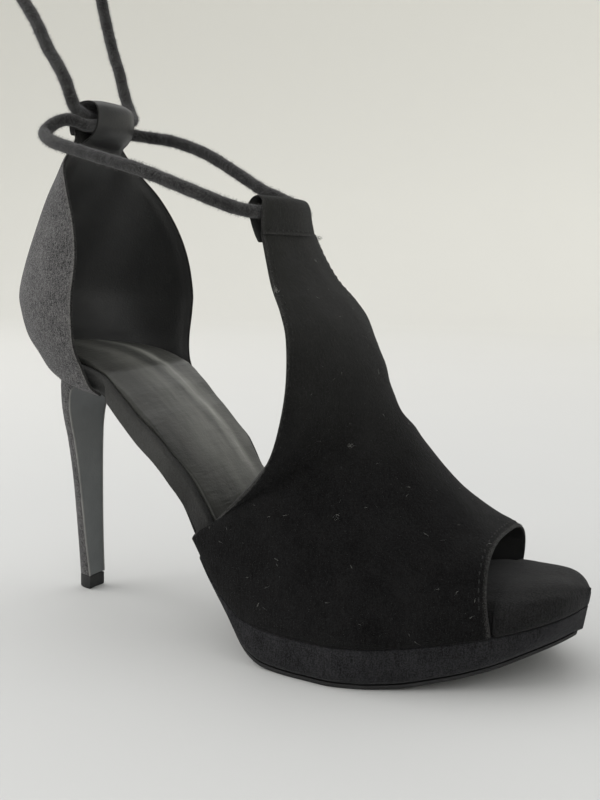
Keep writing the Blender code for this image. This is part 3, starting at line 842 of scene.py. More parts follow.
@dataclass(frozen=True)
class Finishes:
    """Every material of the sandal, made once."""

    vamp: bpy.types.Material
    counter: bpy.types.Material
    sole: bpy.types.Material
    insole: bpy.types.Material
    lining: bpy.types.Material
    rim: bpy.types.Material
    sock: bpy.types.Material
    breast: bpy.types.Material
    piping: bpy.types.Material
    rubber: bpy.types.Material
    cord: bpy.types.Material
    nap: bpy.types.Material
    pale_nap: bpy.types.Material
    thread: bpy.types.Material
    lint: bpy.types.Material

    @classmethod
    def make(cls) -> "Finishes":
        """Makes every material once.

        Returns:
            The set.
        """
        return cls(
            # The vamp's paler tone towards the top is painted haze, standing in for the veiling light over
            # its upper part.
            vamp=Suede("suede_vamp", (0.0012, 0.0012, 0.0013), (0.0110, 0.0110, 0.0113),
                       (0.050, 0.049, 0.048), patch_share=0.30, comb_share=0.25, sheen=0.05,
                       wear_and_painted_light=(0.0170, 0.0172, 0.0156)).build(),
            # Painted sheen and light: this black suede gets a raised tone over ten times the vamp's,
            # standing in for the sheen of its brushed nap and the key light on the lit side.
            counter=Suede("suede_counter", (0.010, 0.0095, 0.010), (0.150, 0.146, 0.147),
                          (0.20, 0.195, 0.19), patch_scale=110.0, patch_share=0.16,
                          comb=(1.0, 1.0, 0.35), comb_share=0.34, sheen=0.22,
                          grain_depth=0.00026).build(),
            sole=Suede("suede_sole", (0.0044, 0.0044, 0.0050), (0.031, 0.031, 0.034), (0.075, 0.074, 0.076),
                       patch_share=0.30, comb_share=0.25, sheen=0.10).build(),
            # The insole's paler tone with height is painted light on its lit upper edge at the waist and
            # seat.
            insole=Suede("suede_insole", (0.0050, 0.0050, 0.0052), (0.021, 0.021, 0.0215),
                         (0.07, 0.07, 0.068), patch_share=0.30, comb_share=0.25, sheen=0.08,
                         wear_and_painted_light=(0.040, 0.040, 0.038), painted_light_from=0.026, painted_light_to=0.062).build(),
            lining=SmoothLeather("lining", (0.0165, 0.0170, 0.0172), (0.0240, 0.0244, 0.0242),
                                 0.48, 0.00005).build(),
            rim=Suede("cut_edge", (0.004, 0.004, 0.004), (0.014, 0.014, 0.0135), (0.040, 0.039, 0.038),
                      patch_share=0.2, comb_share=0.2, sheen=0.08).build(),
            # Painted reflection and shade: the black sock gets pale grey tones that stand in for the bright
            # surroundings it reflects. Its cloud, stretched along the length, paints streaks of reflection,
            # and the across tones paint a bright highlight streak with darker shaded borders.
            sock=SmoothLeather("sock_leather", (0.125, 0.128, 0.118), (0.400, 0.403, 0.370), 0.36, 0.00034,
                               specular=0.25, cloud_scale=75.0, cloud_stretch=(0.16, 1.0, 0.4),
                               across=((0.0, 0.16), (0.20, 0.24), (0.42, 0.43), (0.60, 0.50), (0.70, 1.0),
                                       (0.78, 0.42), (1.0, 0.26))).build(),
            breast=SmoothLeather("heel_breast", (0.078, 0.086, 0.088), (0.104, 0.112, 0.114),
                                 0.42, 0.00003).build(),
            # Painted highlight: the pale colour of the thin line along the heel wrap's edge.
            piping=SmoothLeather("heel_edge", (0.17, 0.17, 0.165), (0.26, 0.26, 0.25),
                                 0.55, 0.00004).build(),
            rubber=Rubber("rubber", (0.010, 0.010, 0.011), (0.030, 0.030, 0.031)).build(),
            cord=Suede("suede_cord", (0.008, 0.008, 0.009), (0.060, 0.059, 0.058), (0.16, 0.157, 0.15),
                       patch_scale=300.0, patch_share=0.35, comb=(1.0, 1.0, 1.0), comb_share=0.25,
                       sheen=0.35, grain_depth=0.00026).build(),
            nap=Fibre("nap", (0.006, 0.006, 0.007), (0.026, 0.026, 0.026)).build(),
            pale_nap=Fibre("pale_nap", (0.035, 0.034, 0.034), (0.14, 0.137, 0.133)).build(),
            thread=Fibre("thread", (0.006, 0.006, 0.006), (0.018, 0.018, 0.018), sheen=0.15).build(),
            lint=Fibre("lint", (0.12, 0.12, 0.115), (0.38, 0.38, 0.36)).build(),
        )


@dataclass
class Studio:
    """Camera, lights and floor."""

    eye: Triple = (0.12567, -0.28625, 0.12714)
    azimuth: float = 28.17
    elevation: float = 8.23
    roll: float = 1.49
    focal_pixels: float = 990.06
    frame: tuple[int, int] = (600, 800)
    sensor: float = 36.0
    floor_half: float = 1.6
    wall_radius: float = 0.8
    wall_height: float = 0.95
    bright_side: Triple = (-0.75, 0.10, 0.60)
    sky_range: tuple[float, float] = (0.30, 1.20)

    def camera(self) -> bpy.types.Object:
        """Puts the camera where the photograph was taken from.

        Returns:
            The camera.
        """
        a, e, r = (math.radians(turn) for turn in (self.azimuth, self.elevation, self.roll))
        back = Vector((math.sin(a) * math.cos(e), -math.cos(a) * math.cos(e), math.sin(e)))
        right = Vector((math.cos(a), math.sin(a), 0.0))
        up = back.cross(right)
        across = right * math.cos(r) + up * math.sin(r)
        upright = up * math.cos(r) - right * math.sin(r)
        data = bpy.data.cameras.new("camera")
        data.sensor_width = self.sensor
        data.lens = self.focal_pixels * self.sensor / max(self.frame)
        data.clip_start, data.clip_end = 0.01, 30.0
        made = bpy.data.objects.new("camera", data)
        made.matrix_world = Matrix((
            (across.x, upright.x, back.x, self.eye[0]),
            (across.y, upright.y, back.y, self.eye[1]),
            (across.z, upright.z, back.z, self.eye[2]),
            (0.0, 0.0, 0.0, 1.0),
        ))
        bpy.context.scene.collection.objects.link(made)
        bpy.context.scene.camera = made
        return made

    def lamp(self, name: str, place: Triple, aim: Triple,
             size: tuple[float, float], watts: float, colour: Colour = (1.0, 1.0, 1.0)) -> None:
        """Adds a soft rectangular light.

        Args:
            name: its name.
            place: its centre.
            aim: the point it looks at.
            size: its width and height.
            watts: its power.
            colour: its colour.
        """
        data = bpy.data.lights.new(name, "AREA")
        data.shape = "RECTANGLE"
        data.size, data.size_y = size
        data.energy = watts
        data.color = colour
        made = bpy.data.objects.new(name, data)
        made.location = place
        made.rotation_mode = "QUATERNION"
        made.rotation_quaternion = (Vector(aim) - Vector(place)).to_track_quat("-Z", "Y")
        bpy.context.scene.collection.objects.link(made)

    def floor(self) -> None:
        """A round pale floor that curves up into a low wall all about."""
        rings, steps, curve_steps = [], 96, 12
        radii = [0.0, 0.2, 0.5, 1.0, self.floor_half]
        heights = [0.0] * len(radii)
        for step in range(1, curve_steps + 1):
            turn = 0.5 * math.pi * step / curve_steps
            radii.append(self.floor_half + self.wall_radius * math.sin(turn))
            heights.append(self.wall_radius * (1 - math.cos(turn)))
        radii.append(radii[-1])
        heights.append(self.wall_height)
        turns = np.linspace(0.0, 2 * math.pi, steps, endpoint=False)
        for radius, height in zip(radii, heights):
            rings.append(np.column_stack([radius * np.cos(turns), radius * np.sin(turns),
                                          np.full(steps, height)]))
        points = np.concatenate(rings)
        numbers = np.arange(len(points)).reshape(len(rings), steps)
        joined = np.concatenate([numbers, numbers[:, :1]], axis=1)
        faces = np.stack([joined[:-1, :-1], joined[:-1, 1:], joined[1:, 1:], joined[1:, :-1]], axis=-1)
        mesh = bpy.data.meshes.new("floor")
        mesh.from_pydata(points.tolist(), [], faces.reshape(-1, 4).tolist())
        Net.weld(mesh, 1e-5)
        mesh.shade_smooth()
        # Painted light: a darker floor about the shoe and a paler wall, standing in for a brighter
        # backdrop.
        sheet = Plain("pale_floor", (0.86, 0.855, 0.815), (0.60, 0.605, 0.605), (0.66, 0.66, 0.65))
        mesh.materials.append(sheet.build())
        made = bpy.data.objects.new("floor", mesh)
        bpy.context.scene.collection.objects.link(made)

    def light(self) -> None:
        """Sets the soft daylight: a wide window at the shoe's heel side, a weak fill and an even sky."""
        scene = bpy.context.scene
        scene.view_settings.view_transform = "Standard"
        world = bpy.data.worlds.new("sky")
        world.use_nodes = True
        sky = world.node_tree.nodes["Background"]
        sky.inputs["Color"].default_value = (1.0, 0.995, 0.97, 1.0)
        links, nodes = world.node_tree.links, world.node_tree.nodes
        toward = nodes.new("ShaderNodeVectorMath")
        toward.operation = "DOT_PRODUCT"
        toward.inputs[1].default_value = Vector(self.bright_side).normalized()
        links.new(nodes.new("ShaderNodeTexCoord").outputs["Generated"], toward.inputs[0])
        spread = nodes.new("ShaderNodeMapRange")
        for name, value in zip(("From Min", "From Max", "To Min", "To Max"), (-0.5, 1.0, *self.sky_range)):
            spread.inputs[name].default_value = value
        links.new(toward.outputs["Value"], spread.inputs["Value"])
        links.new(spread.outputs["Result"], sky.inputs["Strength"])
        scene.world = world
        self.lamp("window", (-1.25, -0.55, 0.75), (-0.03, 0.0, 0.08), (1.3, 1.1), 10.0, (1.0, 0.99, 0.97))
        self.lamp("overhead", (-0.2, 0.5, 1.6), (0.0, 0.0, 0.0), (1.4, 1.4), 5.0)
        self.lamp("fill", (0.9, -1.0, 0.6), (0.0, 0.0, 0.06), (1.0, 1.0), 2.0, (0.97, 0.98, 1.0))

    def build(self) -> None:
        """Camera first, then lights and floor."""
        self.camera()
        self.light()
        self.floor()
        LOG.info("studio: camera, lights and floor")


def tube(net: Net, line: np.ndarray, radii: np.ndarray, sides: int,
         slot: int = 0) -> tuple[np.ndarray, np.ndarray]:
    """Adds a round tube with closed ends along a line.

    Args:
        net: the mesh being made.
        line: the tube's centre line.
        radii: its radius at each point of the line.
        sides: how many sides it has.
        slot: its material slot.

    Returns:
        The rings of points and the directions away from the line.
    """
    tangents = unit(np.gradient(line, axis=0))
    helper = np.array([0.0, 0.0, 1.0]) if abs(tangents[0, 2]) < 0.9 else np.array([1.0, 0.0, 0.0])
    normal = np.cross(tangents[0], helper)
    normals = []
    for tangent in tangents:
        normal = unit(normal - tangent * np.dot(normal, tangent))
        normals.append(normal)
    firsts = np.array(normals)
    seconds = np.cross(tangents, firsts)
    turns = np.linspace(0.0, 2 * math.pi, sides, endpoint=False)
    away = firsts[:, None] * np.cos(turns)[None, :, None] + seconds[:, None] * np.sin(turns)[None, :, None]
    rings = line[:, None] + radii[:, None, None] * away
    net.loft(rings, slot)
    return rings, away


def ripple(shape: tuple[int, int], waves: Sequence[tuple[float, float, float, float]]) -> np.ndarray:
    """A sheet of heights made of a few slanting waves.

    Args:
        shape: rows and columns.
        waves: each wave's turns down the rows and across the columns, its phase and its height.

    Returns:
        Heights, rows by columns.
    """
    rows, columns = np.meshgrid(np.linspace(0, 1, shape[0]), np.linspace(0, 1, shape[1]), indexing="ij")
    heights = np.zeros(shape)
    for down, across, phase, height in waves:
        heights += height * np.sin(2 * math.pi * (down * rows + across * columns) + phase)
    return heights


@dataclass
class Fuzz:
    """Short loose fibres, each a thin sliver, gathered in one mesh."""

    seed: int
    net: Net = field(default_factory=Net)

    def __post_init__(self) -> None:
        """Starts the draws."""
        self.draw = np.random.default_rng(self.seed)

    def plant(self, bases: np.ndarray, ups: np.ndarray, length: float, nap: Nap, width: float = 0.00006,
              comb: np.ndarray | None = None) -> None:
        """Adds one fibre at each base.

        Args:
            bases: where the fibres stand.
            ups: directions away from the surface there.
            length: the longest fibre.
            nap: how they lie.
            width: how wide each is at its base.
            comb: the direction in which they were brushed.
        """
        count = len(bases)
        wander = self.draw.normal(size=(count, 3))
        side = unit(wander - ups * np.sum(wander * ups, axis=1, keepdims=True))
        if comb is not None:
            side = unit(0.7 * side + comb)
        rising = unit(ups * (1.0 - nap.value) + side * nap.value)
        reach = length * self.draw.uniform(0.35, 1.0, (count, 1))
        across = 0.5 * width * unit(np.cross(rising, self.draw.normal(size=(count, 3))))
        points = np.stack([bases - across, bases + across, bases + rising * reach], axis=1)
        self.net.add(points.reshape(-1, 3), np.arange(3 * count).reshape(-1, 3))

    def scatter(self, points: np.ndarray, normals: np.ndarray, count: int, length: float, nap: Nap,
                width: float = 0.00006, weight: np.ndarray | None = None,
                comb: np.ndarray | None = None) -> None:
        """Scatters fibres over a sheet of points.

        Args:
            points: the sheet, rows by columns by three.
            normals: directions away from it.
            count: how many fibres.
            length: the longest of them.
            nap: how they lie.
            width: how wide each is at its base.
            weight: how thick they stand at each point, on top of the area, if not evenly.
            comb: the direction in which they were brushed.
        """
        a, b, c, d = points[:-1, :-1], points[:-1, 1:], points[1:, 1:], points[1:, :-1]
        area = np.linalg.norm(np.cross(c - a, d - b), axis=-1)
        if weight is not None:
            area = area * (weight[:-1, :-1] + weight[1:, 1:])
        chosen = self.draw.choice(area.size, size=count, p=area.ravel() / area.sum())
        i, j = np.divmod(chosen, area.shape[1])
        u, v = self.draw.random((count, 1)), self.draw.random((count, 1))

        def at(grid: np.ndarray) -> np.ndarray:
            """The grid's values at the drawn places."""
            near = grid[i, j] * (1 - v) + grid[i, j + 1] * v
            return near * (1 - u) + (grid[i + 1, j] * (1 - v) + grid[i + 1, j + 1] * v) * u

        self.plant(at(points), unit(at(normals)), length, nap, width, comb)

    def build(self, name: str, material: bpy.types.Material, slot: str) -> bpy.types.Object:
        """Makes the object, with its fibres left apart."""
        return self.net.build(name, [material], slot, weld=0.0)


@dataclass(frozen=True)
class Stitching:
    """A row of lock stitches that sink into the suede."""

    pitch: float = 0.0026
    share: float = 0.70
    thread: float = 0.00036

    def sew(self, net: Net, line: np.ndarray, ups: np.ndarray) -> None:
        """Adds stitches along a line.

        Args:
            net: the mesh being made.
            line: the seam's line on the surface.
            ups: directions away from the surface along it.
        """
        lengths = run_of(line)
        spots = np.linspace(-0.5 * self.share, 0.5 * self.share, 7) * self.pitch
        sunk = np.array([-0.85, -0.25, 0.08, 0.15, 0.08, -0.25, -0.85]) * self.thread
        swell = np.array([0.55, 0.9, 1.0, 1.0, 1.0, 0.9, 0.55]) * 0.5 * self.thread
        for number in range(int(lengths[-1] / self.pitch)):
            marks = (number + 0.5) * self.pitch + spots
            up = unit(read_at(marks, lengths, ups))
            tube(net, read_at(marks, lengths, line) + up * sunk[:, None], swell, 6)


@dataclass
class Tie:
    """The rolled suede cord: two strands from the front tunnel, each with an overhand knot at its end."""

    spacing: float = 0.0006
    knot_scale: float = 0.00125
    knot_lift: float = 0.0055
    tail: float = 0.0065
    outer_route: Table = (
        (0.1063, -0.0003, 0.1414), (0.1063, -0.0040, 0.1414),
        (0.1054, -0.0080, 0.1412), (0.1030, -0.0162, 0.1408),
        (0.0990, -0.0215, 0.1418), (0.0937, -0.0249, 0.1439),
        (0.0842, -0.0284, 0.1477), (0.0695, -0.0304, 0.1529),
        (0.0533, -0.0310, 0.1572), (0.0416, -0.0308, 0.1603),
        (0.0322, -0.0290, 0.1629), (0.0256, -0.0254, 0.1662),
        (0.0260, -0.0212, 0.1698), (0.0290, -0.0185, 0.1714),
        (0.0312, -0.0156, 0.1711), (0.0325, -0.0122, 0.1702),
        (0.0336, -0.0060, 0.1710), (0.0338, 0.0000, 0.1722),
        (0.0336, 0.0060, 0.1734), (0.0323, 0.0122, 0.1745),
        (0.0304, 0.0160, 0.1758), (0.0272, 0.0186, 0.1789),
        (0.0244, 0.0198, 0.1835), (0.0226, 0.0200, 0.1885),
        (0.0210, 0.0200, 0.1940), (0.0186, 0.0200, 0.2000),
        (0.0153, 0.0200, 0.2104), (0.0121, 0.0203, 0.2215),
    )
    inner_route: Table = (
        (0.1063, 0.0003, 0.1414), (0.1063, 0.0040, 0.1414),
        (0.1054, 0.0080, 0.1414), (0.1035, 0.0156, 0.1415),
        (0.1012, 0.0200, 0.1422), (0.0968, 0.0232, 0.1443),
        (0.0900, 0.0246, 0.1471), (0.0828, 0.0240, 0.1500),
        (0.0769, 0.0240, 0.1532), (0.0679, 0.0240, 0.1583),
        (0.0587, 0.0240, 0.1631), (0.0500, 0.0236, 0.1664),
        (0.0430, 0.0222, 0.1684), (0.0360, 0.0202, 0.1694),
        (0.0318, 0.0168, 0.1700), (0.0300, 0.0122, 0.1702),
        (0.0291, 0.0060, 0.1710), (0.0290, 0.0000, 0.1722),
        (0.0291, -0.0060, 0.1734), (0.0298, -0.0122, 0.1747),
        (0.0306, -0.0160, 0.1759), (0.0312, -0.0188, 0.1792),
        (0.0300, -0.0200, 0.1842), (0.0268, -0.0202, 0.1894),
        (0.0226, -0.0202, 0.1951), (0.0173, -0.0200, 0.2040),
        (0.0116, -0.0200, 0.2117), (0.0076, -0.0200, 0.2172),
    )

    def knot_line(self, end: np.ndarray, axis: np.ndarray) -> np.ndarray:
        """The line of an overhand knot that starts at a strand's end and leaves a short tail.

        Args:
            end: the strand's last point.
            axis: its direction there.

        Returns:
            Points along the knot.
        """
        turns = np.linspace(0.17, 2 * math.pi - 0.17, 120)
        swing = 2.0 + np.cos(3 * turns)
        body = np.column_stack([swing * np.cos(2 * turns), swing * np.sin(2 * turns),
                                1.3 * np.sin(3 * turns)])
        body *= self.knot_scale
        body -= body[0]
        body[:, 2] += self.knot_lift
        out = unit(body[-1] - body[-4]) * 0.4 + np.array([0.2, -0.25, 0.85])
        tail = body[-1] + unit(out) * self.tail * np.linspace(0.25, 1.0, 4)[:, None]
        lead = np.array([[0.0, 0.0, 0.0], [0.0, 0.0, 0.35 * self.knot_lift]])
        local = evenly(refine(np.concatenate([lead, body[4:-4:4], tail]), 6), self.spacing)
        first = unit(np.cross(axis, np.array([0.0, 1.0, 0.0])))
        second = np.cross(axis, first)
        return end + local[:, :1] * first + local[:, 1:2] * second + local[:, 2:] * axis

    def strand(self, name: str, node: str, knot_node: str, route: Table, finishes: Finishes,
               seed: int) -> None:
        """Args:
            name: the strand's name.
            node: the solid it stands for.
            knot_node: the solid its knot stands for.
            route: the points it runs through, from the middle of the front tunnel.
            finishes: the materials.
            seed: starts the draws of its fuzz.
        """
        line = evenly(refine(np.array(route), 24), self.spacing)
        along = np.arange(len(line)) * self.spacing
        lumps = 0.022 * np.sin(along * 900 + seed) + 0.015 * np.sin(along * 2300 + 2 * seed)
        net = Net()
        rings, away = tube(net, line, 0.5 * CORD * (1 + lumps), 16)
        piece = net.build(name, [finishes.cord], "cord_suede", node)
        knot_net = Net()
        knot_points = self.knot_line(line[-1], unit(line[-1] - line[-4]))
        knot_rings, knot_away = tube(knot_net, knot_points, np.full(len(knot_points), 0.45 * CORD), 14)
        knot = knot_net.build(name + "_knot", [finishes.cord], "cord_suede", knot_node)
        fuzz = Fuzz(seed)
        for grid, ups, count in ((rings, away, 17000), (knot_rings, knot_away, 4000)):
            looped, turned = (np.concatenate([part, part[:, :1]], axis=1) for part in (grid, ups))
            fuzz.scatter(looped, turned, count, 0.0012, Nap.UPRIGHT, 0.00006)
        nap = fuzz.build(name + "_fuzz", finishes.pale_nap, "cord_suede")

    def build(self, finishes: Finishes) -> None:
        """Both strands.

        Args:
            finishes: the materials.
        """
        self.strand("cord_outer", "tie_outer", "knot_outer", self.outer_route, finishes, 11)
        self.strand("cord_inner", "tie_inner", "knot_inner", self.inner_route, finishes, 12)
        LOG.info("tie: two strands with knots")


@dataclass
class Section:
    """Cross section of a sole piece: drawn in below, rounded above, crowned on top."""

    arc_steps: int = 5
    top_steps: int = 14
    under_steps: int = 8

    def ring(self, x: float, low: float, high: float, outer: float, inner: float, under_cut: float,
             round_over: float, crown: float = 0.0, power: float = 2.0,
             side_share: float = 0.45) -> np.ndarray:
        """Points of one section, from its lower outer corner over the top to its lower inner corner.

        Args:
            x: its place along the shoe.
            low: height of its underside.
            high: height of its top.
            outer: its outer side.
            inner: its inner side.
            under_cut: how far it draws in below.
            round_over: the radius of its top corners.
            crown: how far its top rises in the middle.
            power: how flat the crown is, 2 for an even curve and more for a full one.
            side_share: the most of the height that the draw below may take.

        Returns:
            The ring's points.
        """
        height, width = high - low, inner - outer
        rounded = min(round_over, 0.45 * height, 0.3 * width)
        cut = min(under_cut, 0.4 * width)
        side = min(cut, side_share * height)
        turns = np.linspace(0.0, 0.5 * math.pi, self.arc_steps)
        sines, cosines = 1 - np.sin(turns), 1 - np.cos(turns)
        foot = np.column_stack([outer + cut * sines, low + side * cosines])
        shoulder = np.column_stack([outer + rounded * cosines, high - rounded * sines])
        shares = np.linspace(-1.0, 1.0, self.top_steps + 1)[1:-1]
        top = np.stack([0.5 * (outer + inner) + shares * (0.5 * width - rounded),
                        high + crown * (1 - np.abs(shares) ** power)], axis=1)
        half = np.concatenate([foot, shoulder])
        far = np.stack([outer + inner - half[::-1, 0], half[::-1, 1]], axis=1)
        bottom = np.linspace(inner - cut, outer + cut, self.under_steps + 2)[1:-1]
        under = np.stack([bottom, np.full(self.under_steps, low)], axis=1)
        flat = np.concatenate([half, top, far, under])
        return np.column_stack([np.full(len(flat), x), flat])


@dataclass
class Sole:
    """Outsole, platform, insole and sock."""

    outsole_thickness: float = 0.0013
    outsole_inset: float = 0.0012
    sock_thickness: float = 0.0022
    sock_crown: float = 0.0008
    sock_inset: float = 0.0024
    under_vamp: float = 0.0010
    toe_cut: float = 0.0040
    toe_draw: float = 0.0008
    toe_back: float = 0.0022
    toe_crown: float = 0.0026
    toe_round: float = 0.0044
    tip_drop: float = 0.0042
    waist_inset: float = 0.0022
    seat_inset: float = 0.0065
    platform_cut: float = 0.0022
    platform_round: float = 0.0007
    insole_cut: float = 0.0010
    insole_round: float = 0.0012
    seat_cut: float = 0.0030
    seat_curl: float = 0.0062
    front_step: float = 0.0006
    bend_reach: float = 0.013
    bend_drop: float = 0.0014
    nap_length: float = 0.00045
    count: int = 190
    front_outer: float = 0.8890 * LENGTH + 0.0006
    front_inner: float = 0.8517 * LENGTH + 0.0024
    section: Section = field(default_factory=Section)

    def stations(self, start: float, end: float) -> np.ndarray:
        """Places along the shoe between two shares of its length, closer together at both ends."""
        turns = np.linspace(0.0, math.pi, self.count)
        return LENGTH * (start + (end - start) * 0.5 * (1 - np.cos(turns)))

    def insets(self, x: float) -> tuple[float, float]:
        """How far the insole stands in from the plan, to clear the vamp.

        Args:
            x: a place along the shoe.

        Returns:
            The distances on the outer and the inner side.
        """
        hidden = (WALL + GAP + self.under_vamp) * climb(x / LENGTH, 0.385, 0.035)
        return (hidden * (1 - climb(x, self.front_outer, self.front_step)),
                hidden * (1 - climb(x, self.front_inner, self.front_step)))

    def lean(self, ring: np.ndarray) -> np.ndarray:
        """Leans the lower part of a section back at the toe.

        Args:
            ring: the section's points.

        Returns:
            The points, moved back.
        """
        x = float(ring[0, 0])
        top, tread = float(LAST.top(x)), float(LAST.tread(x))
        depth = np.clip((top - ring[:, 2]) / (top - tread), 0.0, 1.0)
        ring[:, 0] -= self.toe_back * float(ramp(x / LENGTH, 0.88, 1.0)) * depth**1.3
        return ring

    def loft(self, name: str, node: str, slot: str, material: bpy.types.Material,
             rings: Sequence[np.ndarray]) -> bpy.types.Object:
        """Makes a closed piece through rings of points.

        Args:
            name: the piece's name.
            node: the solid it stands for.
            slot: the name of its material in the library; passed on, not used.
            material: its material.
            rings: its sections, from the heel to the toe.

        Returns:
            The new object.
        """
        net = Net()
        net.loft(np.array(rings))
        return net.build(name, [material], slot, node, smooth_angle=55.0)

    def outsole(self, finishes: Finishes) -> None:
        """The thin rubber sheet under the platform and up the waist.

        Args:
            finishes: the materials.
        """
        rings = []
        for x in self.stations(0.1485, 0.992):
            waist = self.waist_inset * (1 - climb(x / LENGTH, 0.44, 0.12))
            seat = self.seat_inset * (1 - climb(x / LENGTH, 0.15, 0.12))
            toe = (0.9 * self.toe_cut + self.toe_draw) * float(ramp(x / LENGTH, 0.84, 0.95))
            inset = self.outsole_inset + waist + seat + toe
            low = float(LAST.tread(x))
            ring = self.section.ring(x, low, low + self.outsole_thickness, float(LAST.outer(x)) + inset,
                                     float(LAST.inner(x)) - inset, 0.0004, 0.0003)
            rings.append(self.lean(ring))
        self.loft("outsole_sheet", "outsole", "outsole_rubber", finishes.rubber, rings)

    def platform(self, finishes: Finishes) -> None:
        """The platform's suede cover, with nap.

        Args:
            finishes: the materials.
        """
        rings = []
        for x in self.stations(0.453, 0.9990):
            low = float(LAST.tread(x)) + self.outsole_thickness + GAP
            high = float(LAST.under(x)) - GAP
            toe = float(ramp(x / LENGTH, 0.84, 0.95))
            draw = self.toe_draw * float(ramp(x / LENGTH, 0.89, 0.97))
            ring = self.section.ring(x, low, high, float(LAST.outer(x)) + draw, float(LAST.inner(x)) - draw,
                                     self.platform_cut + self.toe_cut * toe, self.platform_round,
                                     side_share=0.45 + 0.40 * toe)
            rings.append(self.lean(ring))
        self.loft("platform_cover", "platform", "suede", finishes.sole, rings)
        grid, edge, under = np.array(rings), 2 * self.section.arc_steps, self.section.under_steps
        middle = np.array([0.0, 0.02, 0.01])
        fuzz = Fuzz(21)
        for sheet in (grid[:, :edge], grid[:, -under - edge : -under]):
            ups = unit(np.cross(np.gradient(sheet, axis=0), np.gradient(sheet, axis=1)))
            turn = np.sign(np.sum(ups * (sheet - middle), axis=-1, keepdims=True)[:, 2:3])
            fuzz.scatter(sheet, ups * turn, 5000, self.nap_length, Nap.BRUSHED, 0.00006)
        fuzz.build("platform_nap", finishes.nap, "suede")

    def insole(self, finishes: Finishes) -> None:
        """The wrapped insole, drawn in at the seat to stand inside the counter.

        Args:
            finishes: the materials.
        """
        rings = []
        for x in self.stations(0.0600, 0.9990):
            share = x / LENGTH
            outer, inner = self.insets(x)
            seat = self.seat_cut * (1 - climb(share, 0.10, 0.20))
            toe = self.toe_round * climb(share, 0.80, 0.08)
            curl = self.seat_curl * (1 - climb(share, 0.06, 0.035)) ** 1.4
            tip = self.tip_drop * climb(share, 0.95, 0.05) ** 2
            front = float(ramp(share, 0.89, 0.97))
            crown = self.toe_crown * float(ramp(share, 0.76, 0.86))
            crown *= 1 - 0.5 * float(ramp(share, 0.93, 1.0))
            ring = self.section.ring(x, float(LAST.under(x)) + curl, float(LAST.top(x)) - tip,
                                     float(LAST.outer(x)) + outer, float(LAST.inner(x)) - inner,
                                     self.insole_cut + seat + self.toe_draw * front,
                                     self.insole_round + toe, crown, 4.0, 0.45 + 0.15 * front)
            rings.append(self.lean(Counter.keep_inside(ring)))
        self.loft("insole_cover", "insole", "insole_cover", finishes.insole, rings)

    def sock(self, finishes: Finishes) -> None:
        """The cushioned sock, eased over the bend where the seat turns into the slope.

        Args:
            finishes: the materials.
        """
        rings = []
        for x in self.stations(0.074, 0.80):
            inset = self.sock_inset + self.insets(x)[0]
            base = float(LAST.top(x)) + GAP
            thickness = self.sock_thickness * min(1.0, 0.3 + 6 * (0.80 - x / LENGTH))
            about = float(np.mean(LAST.top(x + np.linspace(-self.bend_reach, self.bend_reach, 11))))
            thickness -= float(np.clip(float(LAST.top(x)) - about, 0.0, self.bend_drop))
            rings.append(self.section.ring(x, base, base + thickness, float(LAST.outer(x)) + inset,
                                           float(LAST.inner(x)) - inset, 0.0003, 0.0010, self.sock_crown))
        self.loft("sock_pad", "sock", "sock_leather", finishes.sock, rings)

    def build(self, finishes: Finishes) -> None:
        """Every sole piece, from the floor up.

        Args:
            finishes: the materials.
        """
        self.outsole(finishes)
        self.platform(finishes)
        self.insole(finishes)
        self.sock(finishes)
        LOG.info("sole: outsole, platform, insole and sock")


def fold_over(profile: Table, steps: int = 31) -> np.ndarray:
    """A strap's end folded round: a profile in the plane of the shoe's length, swept across the shoe.

    Args:
        profile: along and height of the outer face, half its width, and how far its ends stand back
            from its middle, from the flap's raw edge to where the fold meets the piece.
        steps: how many points across.

    Returns:
        The outer face, rows along the profile and columns across the shoe.
    """
    fine = refine(np.array(profile), 10)
    fine = fine[np.linalg.norm(np.diff(fine[:, :2], axis=0, prepend=fine[:1, :2] - 1), axis=1) > 1e-5]
    shares = np.linspace(-1.0, 1.0, steps)
    grid = np.zeros((len(fine), steps, 3))
    grid[..., 0] = fine[:, :1] - fine[:, 3:4] * shares**2
    grid[..., 1] = fine[:, 2:3] * shares
    grid[..., 2] = fine[:, 1:2]
    return grid


